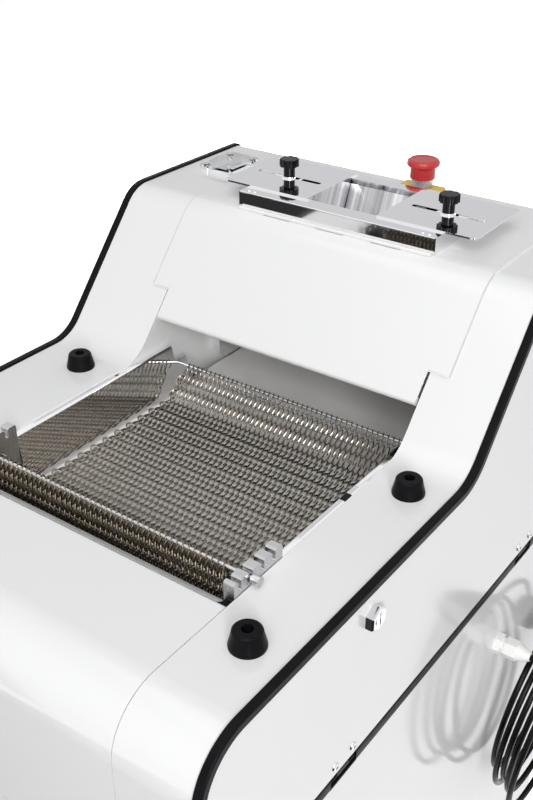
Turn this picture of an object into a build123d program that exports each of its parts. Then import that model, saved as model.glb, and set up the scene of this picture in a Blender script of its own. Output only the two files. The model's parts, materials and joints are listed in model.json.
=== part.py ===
from build123d import *
import os
from math import acos, atan2, cos, degrees, pi, radians, sin, tan

# Floor-standing dough moulder: hopper, sheeting rollers, belt, curling net and moulding board.
# Millimetres, +Z up. The origin is on the floor, under the middle of the body. The operator stands
# at the front (-Y), the hopper is on the raised hood at the back (+Y), and +X is the right-hand side.

os.makedirs("parts", exist_ok=True)

# Body: the outer faces of the two side doors, the front and rear skins, the deck and the hood
body_width = 564.0
body_length = 788.0
deck_height = 850.0
hood_rise = 157.0
slope_start = 430.0
slope_end = 566.0
front_bend = 55.0
foot_bend = 53.0
brow_bend = 45.0
rear_bend = 10.0
sheet = 2.5
fit_gap = 0.5

# Belt, and the channel that it runs in
belt_offset = 16.0
channel_width = 357.0
belt_side_gap = 10.5
belt_drop = 60.0
belt_thickness = 2.7
belt_clearance = 0.3
drum_radius = 45.0
front_drum_at = 204.0
rear_drum_at = 700.0
panel_reach = 148.0
moulding_gap = 32.0
board_thickness = 8.0

# Sheeting rollers, their shafts and their gears
roller_radius = 32.0
roller_gap = 4.0
roller_mid = 650.0
roller_rise = 70.0
roller_end_gap = 8.5
shaft_radius = 10.0
running_clearance = 0.05
gear_teeth = 17
gear_width = 16.0
pressure_angle = 20.0
gear_backlash = 0.5
tooth_addendum = 0.9
tooth_dedendum = 1.25
tooth_sink = 1.0

# Drive on the left-hand side
bearing_depth = 14.0
pulley_width = 18.0
pulley_spacing = 3.0
roller_pulley_radius = 58.0
conveyor_pulley_radius = 38.0
motor_pulley_radius = 29.0
drive_belt_width = 11.0
drive_belt_thickness = 5.0
belt_rim_gap = 0.5
rim_height = 2.0
shaft_end = 4.0
pulley_shaft_end = 6.0
shaft_hole_gap = 1.0
motor_shaft_at = 600.0
motor_axis_drop = 60.0

# Frame and stand
frame_thickness = 6.0
frame_front = 110.0
frame_corner = 25.0
pillar_height = 46.0
bed_thickness = 8.0
seam_below_board = 4.0
seam_width = 12.0
foot_height = 60.0
post_size = 40.0
post_wall = 3.0

# Side doors, their edge trim, hinges and locks
door_thickness = 2.0
trim_width = 9.0
trim_proud = 1.0
trim_rise = 2.5
trim_depth = 5.5
trim_crown = 2.0
trim_rounding = 2.0
hinge_places = (203.0, 598.0)
hinge_length = 40.0
hinge_pin_radius = 2.0
knuckle_radius = 4.0
hinge_inset = 4.0
lock_places = (240.0, 640.0)
lock_drop = 32.0

# Curling net, its rods, combs and guides
net_side_gap = 16.0
net_thickness = 2.4
net_rest_gap = 0.4
net_row_pitch = 20.0
net_gaps_across = 6
rod_radius = 2.0
front_rod_at = 181.8
front_rod_rise = 7.0
rear_rod_at = 490.0
rear_rod_drop = 24.0
guide_foot_gap = 18.0
guide_lip_width = 9.0
guide_sheet = 1.5
guide_end = 483.0
comb_thickness = 11.5
comb_rise = 15.0
notch_pitch = 16.5
notch_steps = (-1, 0, 1, 2)
comb_margins = (1.5, 2.8)

# Hopper, its sliding guide plates and clamp knobs
hopper_offset = -4.0
hopper_width = 264.0
hopper_front = 580.5
hopper_rear = 714.0
hopper_rise = 19.2
hopper_sheet = 2.0
hopper_corner = 2.0
mouth_half = 93.0
mouth_front = 603.0
mouth_rear = 697.0
chute_clearance = 2.0
chute_half = 16.0
plate_inner = 47.0
plate_outer = 170.0
plate_front = 599.0
plate_rear = 711.0
plate_sheet = 2.0
plate_leg_gap = 8.0
slot_length = 92.0
slot_width = 6.6
knob_at = 109.0
knob_behind = 652.0
stud_radius = 3.0

# Guard flap over the slope, and the raised panel on the hood that carries on its surface
flap_overlap = 22.0
flap_side_gap = 2.5
flap_step_rise = 72.0
flap_edge_rise = 46.0
flap_sheet = 1.5
flap_gap = 0.3
flap_joint_gap = 0.4
flap_axis_before = 3.5
flap_barrel_radius = 2.2
flap_pin_radius = 1.1
flap_knuckles = 7

# Emergency stop
stop_offset = 11.5
stop_at = 763.0

# Mains cable
cable_radius = 3.75
cable_sides = 6
gland_at = 556.0
gland_drop = 303.0
gland_length = 44.0
gland_thread_radius = 8.0
coil_turns = 5
coil_pitch = 10.5
coil_lean = 26.0
coil_half_width = 100.0
coil_half_height = 115.0
coil_first_swing = -11.0
coil_swing_step = 3.6
coil_size_change = 0.05
coil_size_rate = 2.1
lead_turns = 5
lead_run = 13.2
tail_points = (
    (24.0, 0.0, 0.0),
    (58.0, -2.0, -8.0),
    (94.0, -3.0, -26.0),
    (122.0, -3.0, -54.0),
    (132.0, -3.0, -88.0),
)
cord_arc_share = 0.45

# Values that follow from the sizes above
slope_angle = degrees(atan2(hood_rise, slope_end - slope_start))
side_face = body_width / 2
channel_half = channel_width / 2
belt_width = channel_width - 2 * belt_side_gap
roller_length = channel_width - 2 * roller_end_gap
net_half_width = belt_width / 2 - net_side_gap
guide_foot_half = channel_half - guide_foot_gap
guide_top_half = channel_half - guide_lip_width
flap_upper_width = channel_width + 2 * flap_overlap
flap_lower_width = channel_width - 2 * flap_side_gap
flap_axis_at = hopper_front - flap_axis_before
frame_outer = channel_half + frame_thickness
trim_inner = side_face + trim_proud - trim_width
cover_half = trim_inner - fit_gap
belt_outer_radius = drum_radius + belt_clearance + belt_thickness
drum_drop = belt_drop + belt_outer_radius
board_drop = drum_drop + belt_outer_radius + moulding_gap
bed_drop = board_drop + board_thickness + pillar_height
motor_shaft_drop = bed_drop + bed_thickness + motor_axis_drop
seam_drop = board_drop + seam_below_board
chute_foot = roller_rise + roller_radius + chute_clearance
plate_leg_foot = chute_foot + plate_leg_gap
roller_centres = 2 * roller_radius + roller_gap
front_roller_at = roller_mid - roller_centres / 2
rear_roller_at = roller_mid + roller_centres / 2
door_foot = seam_drop - seam_width / 2
cabinet_top = seam_drop + seam_width / 2
hinge_x = side_face - hinge_inset
hopper_x = belt_offset + hopper_offset
panel_rise = hood_rise + flap_gap + flap_sheet
hopper_top = panel_rise + hopper_rise
comb_start = front_rod_at - comb_margins[0] * notch_pitch
comb_end = front_rod_at + comb_margins[1] * notch_pitch
guide_start = comb_end + 2 * fit_gap
bearing_end = frame_outer + bearing_depth


def behind(distance):
    """Y of a point that lies this far behind the front skin."""
    return distance - body_length / 2


def above(rise):
    """Z of a point that lies this far above the deck."""
    return deck_height + rise


def at(distance, rise):
    """A point of the side view."""
    return (behind(distance), above(rise))


def keep(piece, name):
    """Labels a finished piece and writes its file."""
    piece.part.label = name
    export_step(piece.part, f"parts/{name}.step")


def skin_corners(inset):
    """Corners of the body's side outline, moved inwards by inset."""
    shift = inset * tan(radians(slope_angle) / 2)
    return [
        at(inset, -inset),
        at(slope_start + shift, -inset),
        at(slope_end + shift, hood_rise - inset),
        at(body_length - inset, hood_rise - inset),
    ]


def skin_radii(inset):
    """Bend radii at those corners."""
    return [front_bend - inset, foot_bend + inset, brow_bend - inset, rear_bend - inset]


def skin_band(x, outer, inner, front_foot, rear_foot):
    """Side-view band between two insets of the outline, ending at the two feet."""
    with BuildSketch(Plane.YZ.offset(x)) as band:
        with BuildLine():
            paths = []
            for inset in (outer, inner):
                ends = (at(inset, front_foot), at(body_length - inset, rear_foot))
                corners = [ends[0], *skin_corners(inset), ends[1]]
                paths.append(FilletPolyline(*corners, radius=skin_radii(inset)))
            Line(paths[0] @ 0, paths[1] @ 0)
            Line(paths[0] @ 1, paths[1] @ 1)
        make_face()
    return band.sketch


def skin_face(x, inset, foot):
    """Side-view face inside one inset of the outline, down to a level foot."""
    with BuildSketch(Plane.YZ.offset(x)) as face:
        with BuildLine():
            corners = [at(inset, foot), *skin_corners(inset), at(body_length - inset, foot)]
            path = FilletPolyline(*corners, radius=skin_radii(inset))
            Line(path @ 1, path @ 0)
        make_face()
    return face.sketch


def bent_sheet(plane, outer, outer_radii, inner, inner_radii):
    """Section of a bent sheet between its outer and its inner line."""
    with BuildSketch(plane) as section:
        with BuildLine():
            lines = []
            for points, radii in ((outer, outer_radii), (inner, inner_radii)):
                lines.append(FilletPolyline(*points, radius=radii))
            Line(lines[0] @ 0, lines[1] @ 0)
            Line(lines[0] @ 1, lines[1] @ 1)
        make_face()
    return section.sketch


def hull_face(x, places, radii):
    """Side-view outline of a loop drawn tight around two circles."""
    with BuildSketch(Plane.YZ.offset(x)) as hull:
        for place, radius in zip(places, radii):
            with Locations(place):
                Circle(radius)
        make_hull()
    return hull.sketch


def loop_band(x, width, places, radii, thickness):
    """Endless belt of a given thickness round two circles."""
    outer = hull_face(x, places, [radius + thickness for radius in radii])
    inner = hull_face(x, places, radii)
    with BuildPart() as band:
        extrude(outer, amount=width)
        extrude(inner, amount=width, mode=Mode.SUBTRACT)
    return band


def stepped_bar(place, steps):
    """Round bar along X: steps are (start, end, radius) from left to right."""
    with BuildPart() as bar:
        for start, end, radius in steps:
            with BuildSketch(Plane.YZ.offset(start)):
                with Locations(place):
                    Circle(radius)
            extrude(amount=end - start)
    return bar


def pulley(x, place, seat_radius, bore):
    """Flanged belt pulley: a seat for the belt between two rims."""
    rim = (pulley_width - drive_belt_width) / 2 - belt_rim_gap
    rim_radius = seat_radius + drive_belt_thickness + rim_height
    with BuildPart() as wheel:
        with BuildSketch(Plane.YZ.offset(x)):
            with Locations(place):
                Circle(rim_radius)
                Circle(bore, mode=Mode.SUBTRACT)
        extrude(amount=rim)
        with BuildSketch(Plane.YZ.offset(x)):
            with Locations(place):
                Circle(seat_radius)
                Circle(bore, mode=Mode.SUBTRACT)
        extrude(amount=pulley_width)
        with BuildSketch(Plane.YZ.offset(x + pulley_width - rim)):
            with Locations(place):
                Circle(rim_radius)
                Circle(bore, mode=Mode.SUBTRACT)
        extrude(amount=rim)
    return wheel


# Stand: posts, feet and the panels of the cabinet
post_x = side_face - sheet - post_size / 2
post_y = body_length / 2 - sheet - post_size / 2
bed_under = above(-bed_drop - bed_thickness)

with BuildPart() as stand_posts:
    with BuildSketch(Plane.XY.offset(foot_height + sheet)):
        with GridLocations(2 * post_x, 2 * post_y, 2, 2):
            Rectangle(post_size, post_size)
            Rectangle(post_size - 2 * post_wall, post_size - 2 * post_wall, mode=Mode.SUBTRACT)
    extrude(amount=bed_under - foot_height - sheet)
keep(stand_posts, "stand_posts")

foot_pad_radius = 25.0
foot_pad_height = 14.0
foot_pad_chamfer = 2.0
foot_pad_rim = 6.0
foot_neck = 5.0
foot_stem_radius = 8.0
with BuildPart() as foot:
    with BuildSketch(Plane.XZ):
        with BuildLine():
            Polyline(
                (0, 0),
                (foot_pad_radius - foot_pad_chamfer, 0),
                (foot_pad_radius, foot_pad_chamfer),
                (foot_pad_radius, foot_pad_rim),
                (foot_stem_radius + foot_neck, foot_pad_height),
                (foot_stem_radius, foot_pad_height),
                (foot_stem_radius, foot_height),
                (0, foot_height),
                close=True,
            )
        make_face()
    revolve(axis=Axis.Z)
with BuildPart() as levelling_feet:
    with GridLocations(2 * post_x, 2 * post_y, 2, 2):
        add(foot.part)
keep(levelling_feet, "levelling_feet")

panel_return = 18.0
panel_height = above(-cabinet_top) - foot_height
with BuildPart() as cabinet_panels:
    for side in (-1, 1):
        face_x = side * side_face
        inner_x = side * (side_face - sheet)
        return_x = side * (side_face - panel_return)
        with BuildSketch(Plane.XZ.offset(-behind(body_length))):
            with BuildLine():
                Polyline(
                    (face_x, above(-cabinet_top)),
                    (face_x, foot_height),
                    (return_x, foot_height),
                    (return_x, foot_height + sheet),
                    (inner_x, foot_height + sheet),
                    (inner_x, above(-cabinet_top)),
                    close=True,
                )
            make_face()
        extrude(amount=body_length)
    with BuildSketch(Plane.YZ.offset(side_face)):
        with Locations(at(gland_at, -gland_drop)):
            Circle(gland_thread_radius + fit_gap)
    extrude(amount=-2 * sheet, mode=Mode.SUBTRACT)
    for face_y in (behind(0), behind(body_length - sheet)):
        with Locations((0, face_y, foot_height + sheet)):
            Box(
                2 * (side_face - sheet - fit_gap),
                sheet,
                panel_height - sheet,
                align=(Align.CENTER, Align.MIN, Align.MIN),
            )
    with Locations((0, 0, foot_height)):
        Box(
            2 * (side_face - panel_return - fit_gap),
            body_length - 2 * sheet - 2 * fit_gap,
            sheet,
            align=(Align.CENTER, Align.CENTER, Align.MIN),
        )
keep(cabinet_panels, "cabinet_panels")

# Places along X of the two pulley rows, counted outwards from the left frame plate
inner_pulley_x = belt_offset - bearing_end - pulley_spacing - pulley_width
outer_pulley_x = inner_pulley_x - pulley_spacing - pulley_width
shaft_left = outer_pulley_x - pulley_shaft_end

belt_slot_length = 190.0
belt_slot_shift = 10.0
belt_slot_side = 6.0
with BuildPart() as bed_plate:
    with BuildSketch(Plane.XY.offset(bed_under)):
        Rectangle(2 * (side_face - sheet - fit_gap), body_length - 2 * sheet - 2 * fit_gap)
        with Locations((outer_pulley_x + pulley_width / 2, behind(motor_shaft_at + belt_slot_shift))):
            Rectangle(pulley_width + 2 * belt_slot_side, belt_slot_length, mode=Mode.SUBTRACT)
    extrude(amount=bed_thickness)
keep(bed_plate, "bed_plate")

# Frame plates that carry every shaft, and the bars that tie them together
drum_places = (at(front_drum_at, -drum_drop), at(rear_drum_at, -drum_drop))
roller_places = (at(front_roller_at, roller_rise), at(rear_roller_at, roller_rise))
shaft_places = (*drum_places, *roller_places)
frame_inset = sheet + fit_gap

with BuildPart() as frame_plates:
    for side in (-1, 1):
        with BuildSketch(Plane.YZ.offset(belt_offset + side * channel_half)):
            with BuildLine():
                corners = [
                    at(frame_front, -bed_drop),
                    at(frame_front, -frame_inset),
                    *skin_corners(frame_inset)[1:],
                    at(body_length - frame_inset, -bed_drop),
                ]
                radii = [frame_corner, *skin_radii(frame_inset)[1:]]
                path = FilletPolyline(*corners, radius=radii)
                Line(path @ 1, path @ 0)
            make_face()
            with Locations(*shaft_places):
                Circle(shaft_radius + shaft_hole_gap, mode=Mode.SUBTRACT)
        extrude(amount=side * frame_thickness)
keep(frame_plates, "frame_plates")

tie_radius = 10.0
bed_rest_drop = belt_drop + belt_thickness + belt_clearance
belt_bed_sheet = 2.7
bed_bar_drop = bed_rest_drop + belt_bed_sheet + tie_radius
bed_bars_at = (300.0, 600.0)
low_bars_at = (130.0, 740.0)
low_bar_over_bed = 24.0
low_bar_drop = bed_drop - low_bar_over_bed
hood_bar_at = 722.0
hood_bar_under_hood = 31.0
tie_places = (
    *[(place, -bed_bar_drop) for place in bed_bars_at],
    *[(place, -low_bar_drop) for place in low_bars_at],
    (hood_bar_at, hood_rise - hood_bar_under_hood),
)
with BuildPart() as tie_bars:
    with BuildSketch(Plane.YZ.offset(belt_offset - channel_half)):
        with Locations(*[at(*place) for place in tie_places]):
            Circle(tie_radius)
    extrude(amount=channel_width)
keep(tie_bars, "tie_bars")

# Bearings on the outer faces of the frame plates
bearing_flange_radius = 30.0
bearing_boss_radius = 21.0
bearing_steps = ((bearing_flange_radius, bearing_depth / 2), (bearing_boss_radius, bearing_depth))
with BuildPart() as bearings:
    for side in (-1, 1):
        start = belt_offset + side * frame_outer
        for radius, depth in bearing_steps:
            with BuildSketch(Plane.YZ.offset(start)):
                with Locations(*shaft_places):
                    Circle(radius)
            extrude(amount=side * depth)
        with BuildSketch(Plane.YZ.offset(start)):
            with Locations(*shaft_places):
                Circle(shaft_radius + running_clearance)
        extrude(amount=side * bearing_depth, mode=Mode.SUBTRACT)
keep(bearings, "bearings")

# Drums, sheeting rollers and their shafts
shaft_right = belt_offset + bearing_end + pulley_spacing + gear_width + shaft_end
drum_right = belt_offset + bearing_end + shaft_end
drum_left = belt_offset - bearing_end - shaft_end
drum_start = belt_offset - belt_width / 2
roller_start = belt_offset - roller_length / 2
front_drum = stepped_bar(
    drum_places[0],
    [
        (drum_left, drum_right, shaft_radius),
        (drum_start, drum_start + belt_width, drum_radius),
    ],
)
keep(front_drum, "front_drum")
rear_drum_bar = stepped_bar(
    drum_places[1],
    [
        (inner_pulley_x - shaft_end, drum_right, shaft_radius),
        (drum_start, drum_start + belt_width, drum_radius),
    ],
)
drum_pulley = pulley(inner_pulley_x, drum_places[1], conveyor_pulley_radius, shaft_radius / 2)
with BuildPart() as rear_drum:
    add(rear_drum_bar.part)
    add(drum_pulley.part)
keep(rear_drum, "rear_drum")
front_roller = stepped_bar(
    roller_places[0],
    [
        (drum_left, shaft_right, shaft_radius),
        (roller_start, roller_start + roller_length, roller_radius),
    ],
)
keep(front_roller, "front_sheeting_roller")
rear_roller = stepped_bar(
    roller_places[1],
    [
        (shaft_left, shaft_right, shaft_radius),
        (roller_start, roller_start + roller_length, roller_radius),
    ],
)
keep(rear_roller, "rear_sheeting_roller")

# Meshed gears of the two sheeting rollers, with involute flanks
gear_module = roller_centres / gear_teeth
pitch_radius = roller_centres / 2
base_radius = pitch_radius * cos(radians(pressure_angle))
tip_radius = pitch_radius + tooth_addendum * gear_module
root_radius = pitch_radius - tooth_dedendum * gear_module


def involute(radius):
    """Involute function, in radians, of the flank's pressure angle at a radius."""
    angle = acos(min(1.0, base_radius / radius))
    return tan(angle) - angle


def gear(place, first_tooth):
    """Spur gear on the right-hand end of a roller's shaft, with one tooth at an angle in degrees."""
    half_tooth = (pi * gear_module / 2 - gear_backlash) / 2 / pitch_radius
    flank_radii = [base_radius, pitch_radius, (pitch_radius + tip_radius) / 2, tip_radius]
    flank = [(root_radius - tooth_sink, half_tooth + involute(pitch_radius))]
    flank += [(r, half_tooth + involute(pitch_radius) - involute(r)) for r in flank_radii]
    upper = [(r * cos(a), r * sin(a)) for r, a in flank]
    lower = [(x, -y) for x, y in reversed(upper)]
    gear_plane = Plane(
        origin=(belt_offset + bearing_end + pulley_spacing, *place),
        x_dir=(0, 1, 0),
        z_dir=(1, 0, 0),
    )
    with BuildSketch() as tooth:
        with BuildLine():
            Polyline(*upper, *lower, close=True)
        make_face()
    with BuildPart() as wheel:
        with BuildSketch(gear_plane):
            Circle(root_radius)
            with PolarLocations(0, gear_teeth, start_angle=first_tooth):
                add(tooth.sketch)
            Circle(shaft_radius + running_clearance, mode=Mode.SUBTRACT)
        extrude(amount=gear_width)
    return wheel


keep(gear(roller_places[0], 0.0), "front_roller_gear")
keep(gear(roller_places[1], 180.0 + 180.0 / gear_teeth), "rear_roller_gear")


# Belt drive: motor to rear roller in the outer row, rear roller to rear drum in the inner row
motor_place = at(motor_shaft_at, -motor_shaft_drop)
shaft_bore = shaft_radius + running_clearance
roller_pulley = pulley(outer_pulley_x, roller_places[1], roller_pulley_radius, shaft_bore)
conveyor_pulley = pulley(inner_pulley_x, roller_places[1], conveyor_pulley_radius, shaft_bore)
with BuildPart() as roller_pulleys:
    add(roller_pulley.part)
    add(conveyor_pulley.part)
keep(roller_pulleys, "roller_pulleys")

belt_inset = (pulley_width - drive_belt_width) / 2
roller_drive_belt = loop_band(
    outer_pulley_x + belt_inset,
    drive_belt_width,
    (motor_place, roller_places[1]),
    (motor_pulley_radius + belt_clearance, roller_pulley_radius + belt_clearance),
    drive_belt_thickness,
)
conveyor_drive_belt = loop_band(
    inner_pulley_x + belt_inset,
    drive_belt_width,
    (roller_places[1], drum_places[1]),
    [conveyor_pulley_radius + belt_clearance] * 2,
    drive_belt_thickness,
)
with BuildPart() as drive_belts:
    add(roller_drive_belt.part)
    add(conveyor_drive_belt.part)
keep(drive_belts, "drive_belts")

# Gearmotor under the bed plate, with its shaft towards the left
gearbox_size = (112.0, 124.0, 116.0)
gearbox_gap = 8.0
gearbox_corner = 14.0
gearbox_x = outer_pulley_x + pulley_width + gearbox_gap
motor_radius = 60.0
motor_length = 190.0
motor_bore_depth = 40.0
motor_bore_gap = 2.0
fin_count = 3
fin_height = 2.0
fin_lead = 0.7
fin_share = 0.45
fin_pitch = motor_length / (fin_count + 1)
terminal_box = (90.0, 44.0, 70.0)
terminal_at = 40.0
terminal_sink = 8.0
with BuildPart() as gearmotor:
    with Locations((gearbox_x, motor_place[0], bed_under)):
        Box(*gearbox_size, align=(Align.MIN, Align.CENTER, Align.MAX))
    fillet(gearmotor.edges().filter_by(Axis.X), gearbox_corner)
    motor_x = gearbox_x + gearbox_size[0]
    with BuildSketch(Plane.YZ.offset(motor_x)):
        with Locations(motor_place):
            Circle(motor_radius - fin_height)
    extrude(amount=motor_length)
    for index in range(fin_count):
        with BuildSketch(Plane.YZ.offset(motor_x + (index + fin_lead) * fin_pitch)):
            with Locations(motor_place):
                Circle(motor_radius)
        extrude(amount=fin_pitch * fin_share)
    with Locations((motor_x + terminal_at, motor_place[0] + motor_radius - terminal_sink, motor_place[1])):
        Box(*terminal_box, align=(Align.MIN, Align.MIN, Align.CENTER))
    with BuildSketch(Plane.YZ.offset(gearbox_x)):
        with Locations(motor_place):
            Circle(shaft_bore)
    extrude(amount=motor_bore_depth, mode=Mode.SUBTRACT)
keep(gearmotor, "gearmotor")
motor_shaft_right = gearbox_x + motor_bore_depth - motor_bore_gap
motor_shaft = stepped_bar(motor_place, [(outer_pulley_x - shaft_end, motor_shaft_right, shaft_radius)])
motor_wheel = pulley(outer_pulley_x, motor_place, motor_pulley_radius, shaft_radius / 2)
with BuildPart() as motor_pulley:
    add(motor_shaft.part)
    add(motor_wheel.part)
keep(motor_pulley, "motor_pulley")

# Conveyor: endless belt, slider bed, moulding board, curved front guide, outfeed chute, roller scrapers
conveyor_belt = loop_band(
    belt_offset - belt_width / 2,
    belt_width,
    drum_places,
    [drum_radius + belt_clearance] * 2,
    belt_thickness,
)
keep(conveyor_belt, "conveyor_belt")

belt_bed_margin = 18.0
belt_bed_edge = 2.0
belt_bed_start = front_drum_at + drum_radius + belt_bed_margin
belt_bed_end = rear_drum_at - drum_radius - belt_bed_margin
with BuildPart() as belt_bed:
    with Locations((belt_offset, behind(belt_bed_start), above(-bed_rest_drop))):
        Box(
            belt_width,
            belt_bed_end - belt_bed_start,
            belt_bed_sheet,
            align=(Align.CENTER, Align.MIN, Align.MAX),
        )
    fillet(belt_bed.edges().filter_by(Axis.X).group_by(Axis.Z)[-1], belt_bed_edge)
keep(belt_bed, "belt_bed")

board_width = channel_width - 2 * fit_gap
board_before_drum = 10.0
board_end = rear_drum_at - board_before_drum
pillar_radius = 8.0
pillar_spacing = (240.0, 340.0)
with BuildPart() as moulding_board:
    with Locations((belt_offset, behind(front_drum_at + fit_gap), above(-board_drop))):
        Box(
            board_width,
            board_end - front_drum_at - fit_gap,
            board_thickness,
            align=(Align.CENTER, Align.MIN, Align.MAX),
        )
    pillar_mid = behind((front_drum_at + board_end) / 2)
    with BuildSketch(Plane.XY.offset(above(-bed_drop))):
        with Locations((belt_offset, pillar_mid)):
            with GridLocations(*pillar_spacing, 2, 2):
                Circle(pillar_radius)
    extrude(amount=pillar_height)
keep(moulding_board, "moulding_board")

curve_radius = belt_outer_radius + moulding_gap
curve_sheet = 2.0
chute_fall = 7.0
chute_end = body_length - 2 * fit_gap
scraper_reach = 28.0
scraper_angles = (240.0, 300.0)
guide_left = belt_offset - board_width / 2
with BuildPart() as dough_guides:
    with BuildSketch(Plane.YZ.offset(guide_left)):
        with BuildLine():
            inner_arc = CenterArc(drum_places[0], curve_radius, 180, 90)
            outer_arc = CenterArc(drum_places[0], curve_radius + curve_sheet, 180, 90)
            Line(inner_arc @ 0, outer_arc @ 0)
            Line(inner_arc @ 1, outer_arc @ 1)
        make_face()
    extrude(amount=board_width)
    with BuildSketch(Plane.YZ.offset(guide_left)):
        with BuildLine():
            Polyline(
                at(board_end + fit_gap, -board_drop),
                at(chute_end, -board_drop - chute_fall),
                at(chute_end, -board_drop - chute_fall - curve_sheet),
                at(board_end + fit_gap, -board_drop - curve_sheet),
                close=True,
            )
        make_face()
    extrude(amount=board_width)
    for place, angle in zip(roller_places, scraper_angles):
        blade_plane = Plane(origin=(guide_left, *place), x_dir=(0, 1, 0), z_dir=(1, 0, 0))
        blade_radius = roller_radius + belt_clearance + scraper_reach / 2
        with BuildSketch(blade_plane):
            with PolarLocations(blade_radius, 1, start_angle=angle):
                Rectangle(scraper_reach, curve_sheet)
        extrude(amount=board_width)
keep(dough_guides, "dough_guides")

# Line of the guard flap and of the raised hood panel behind it, and the places of their hinge
slope = radians(slope_angle)
edge_at = slope_start + flap_edge_rise / tan(slope)
lean = tan(slope / 2)
flap_under = -flap_gap
flap_over = -flap_gap - flap_sheet
knuckle_margin = 3.0
knuckle_pitch = (hopper_width - 2 * knuckle_margin) / flap_knuckles
knuckle_left = hopper_x - hopper_width / 2 + knuckle_margin
knuckle_starts = [knuckle_left + index * knuckle_pitch for index in range(flap_knuckles)]
axis_place = at(flap_axis_at, panel_rise)


def flap_line(inset):
    """Line at an inset from the body's outline, from the flap's lower edge over the brow to the rear."""
    return [
        at(edge_at + inset * sin(slope), flap_edge_rise - inset * cos(slope)),
        at(slope_end + inset * lean, hood_rise - inset),
        at(body_length - rear_bend, hood_rise - inset),
    ]


def brow_sheet(x, over, under, start, end, width):
    """Bent sheet between two insets, cut to a stretch of the body's length."""
    section = bent_sheet(
        Plane.YZ.offset(x),
        flap_line(over),
        [brow_bend - over],
        flap_line(under),
        [brow_bend - under],
    )
    with BuildPart() as piece:
        extrude(section, amount=width)
        with Locations((x + width / 2, behind(start), deck_height)):
            Box(
                2 * width,
                end - start,
                2 * hood_rise,
                align=(Align.CENTER, Align.MIN, Align.MIN),
                mode=Mode.INTERSECT,
            )
    return piece


# White skins: main cover, front panel between the deck seams, rear panel
hinge_recess = 2 * (flap_barrel_radius + flap_joint_gap)
hood_sheet = brow_sheet(
    belt_offset - flap_upper_width / 2,
    flap_over,
    sheet / 2,
    flap_axis_at,
    body_length - rear_bend,
    flap_upper_width,
)
with BuildPart() as hood_panel:
    add(hood_sheet.part)
    with Locations((hopper_x, *axis_place)):
        Box(flap_knuckles * knuckle_pitch + 2 * fit_gap, hinge_recess, 4 * hinge_recess, mode=Mode.SUBTRACT)
stop_hole_radius = 11.25
mouth_margin = 6.0
cover_flange = 9.0
cover_rear_drop = 30.0
cover_rear_foot = hood_rise - cover_rear_drop
cover_band = skin_band(-cover_half, 0, sheet, -cabinet_top + fit_gap, cover_rear_foot)
cover_side_flange = skin_band(-cover_half, 0, cover_flange, -cabinet_top + fit_gap, cover_rear_foot)
opening_end = 545.0
cut_past = 20.0
hood_cut_over = 5.0
window_place = (-222.0, 694.0)
with BuildPart() as main_cover:
    extrude(cover_band, amount=2 * cover_half)
    extrude(cover_side_flange, amount=sheet)
    mirror(about=Plane.YZ)
    add(hood_panel.part)
    with Locations((belt_offset, behind(-cut_past), above(-cabinet_top - cut_past))):
        Box(
            channel_width,
            opening_end + cut_past,
            cabinet_top + hood_rise + 2 * cut_past,
            align=(Align.CENTER, Align.MIN, Align.MIN),
            mode=Mode.SUBTRACT,
        )
    with BuildSketch(Plane.XY.offset(above(hood_rise + hood_cut_over))):
        with Locations((hopper_x, behind((mouth_front + mouth_rear) / 2))):
            Rectangle(2 * (mouth_half + mouth_margin), mouth_rear - mouth_front + 2 * mouth_margin)
        with Locations((belt_offset + stop_offset, behind(stop_at))):
            Circle(stop_hole_radius)
    extrude(amount=-cut_past, mode=Mode.SUBTRACT)
keep(main_cover, "main_cover")

seam_gap = 0.8
panel_lip = 14.0
panel_lip_bend = 4.0
panel_half = channel_half - seam_gap
panel_outer = [
    at(0, -cabinet_top + fit_gap),
    at(0, 0),
    at(panel_reach, 0),
    at(panel_reach, -panel_lip),
]
panel_inner = [
    at(sheet, -cabinet_top + fit_gap),
    at(sheet, -sheet),
    at(panel_reach - sheet, -sheet),
    at(panel_reach - sheet, -panel_lip),
]
front_section = bent_sheet(
    Plane.YZ.offset(belt_offset - panel_half),
    panel_outer,
    [front_bend, panel_lip_bend],
    panel_inner,
    [front_bend - sheet, panel_lip_bend - sheet],
)
with BuildPart() as front_panel:
    extrude(front_section, amount=2 * panel_half)
keep(front_panel, "front_panel")

outfeed_height = 76.0
with BuildPart() as rear_panel:
    with Locations((0, behind(body_length - sheet), above(-cabinet_top + fit_gap))):
        Box(
            2 * cover_half,
            sheet,
            cover_rear_foot + cabinet_top - 2 * fit_gap,
            align=(Align.CENTER, Align.MIN, Align.MIN),
        )
    with Locations((belt_offset, behind(body_length), above(-cabinet_top + fit_gap))):
        Box(
            board_width + 2 * fit_gap,
            4 * sheet,
            outfeed_height,
            align=(Align.CENTER, Align.CENTER, Align.MIN),
            mode=Mode.SUBTRACT,
        )
keep(rear_panel, "rear_panel")

# Rubber seam strips between the doors and the cabinet, broken at the hinges
strip_hinge_gap = 2.0
strip_door_gap = 2.0
hinge_break = hinge_length + 2 * strip_hinge_gap
strip_ends = [0.0]
for place in hinge_places:
    strip_ends += [place - hinge_break / 2, place + hinge_break / 2]
strip_ends.append(body_length)
strip_height = seam_width - strip_door_gap
strip_width = side_face - fit_gap - trim_inner
with BuildPart() as seam_strips:
    for side in (-1, 1):
        for start, end in zip(strip_ends[0::2], strip_ends[1::2]):
            strip_x = side * (side_face - fit_gap - strip_width / 2)
            with Locations((strip_x, behind((start + end) / 2), above(-cabinet_top))):
                Box(
                    strip_width,
                    end - start,
                    strip_height,
                    align=(Align.CENTER, Align.CENTER, Align.MIN),
                )
keep(seam_strips, "seam_strips")

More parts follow.
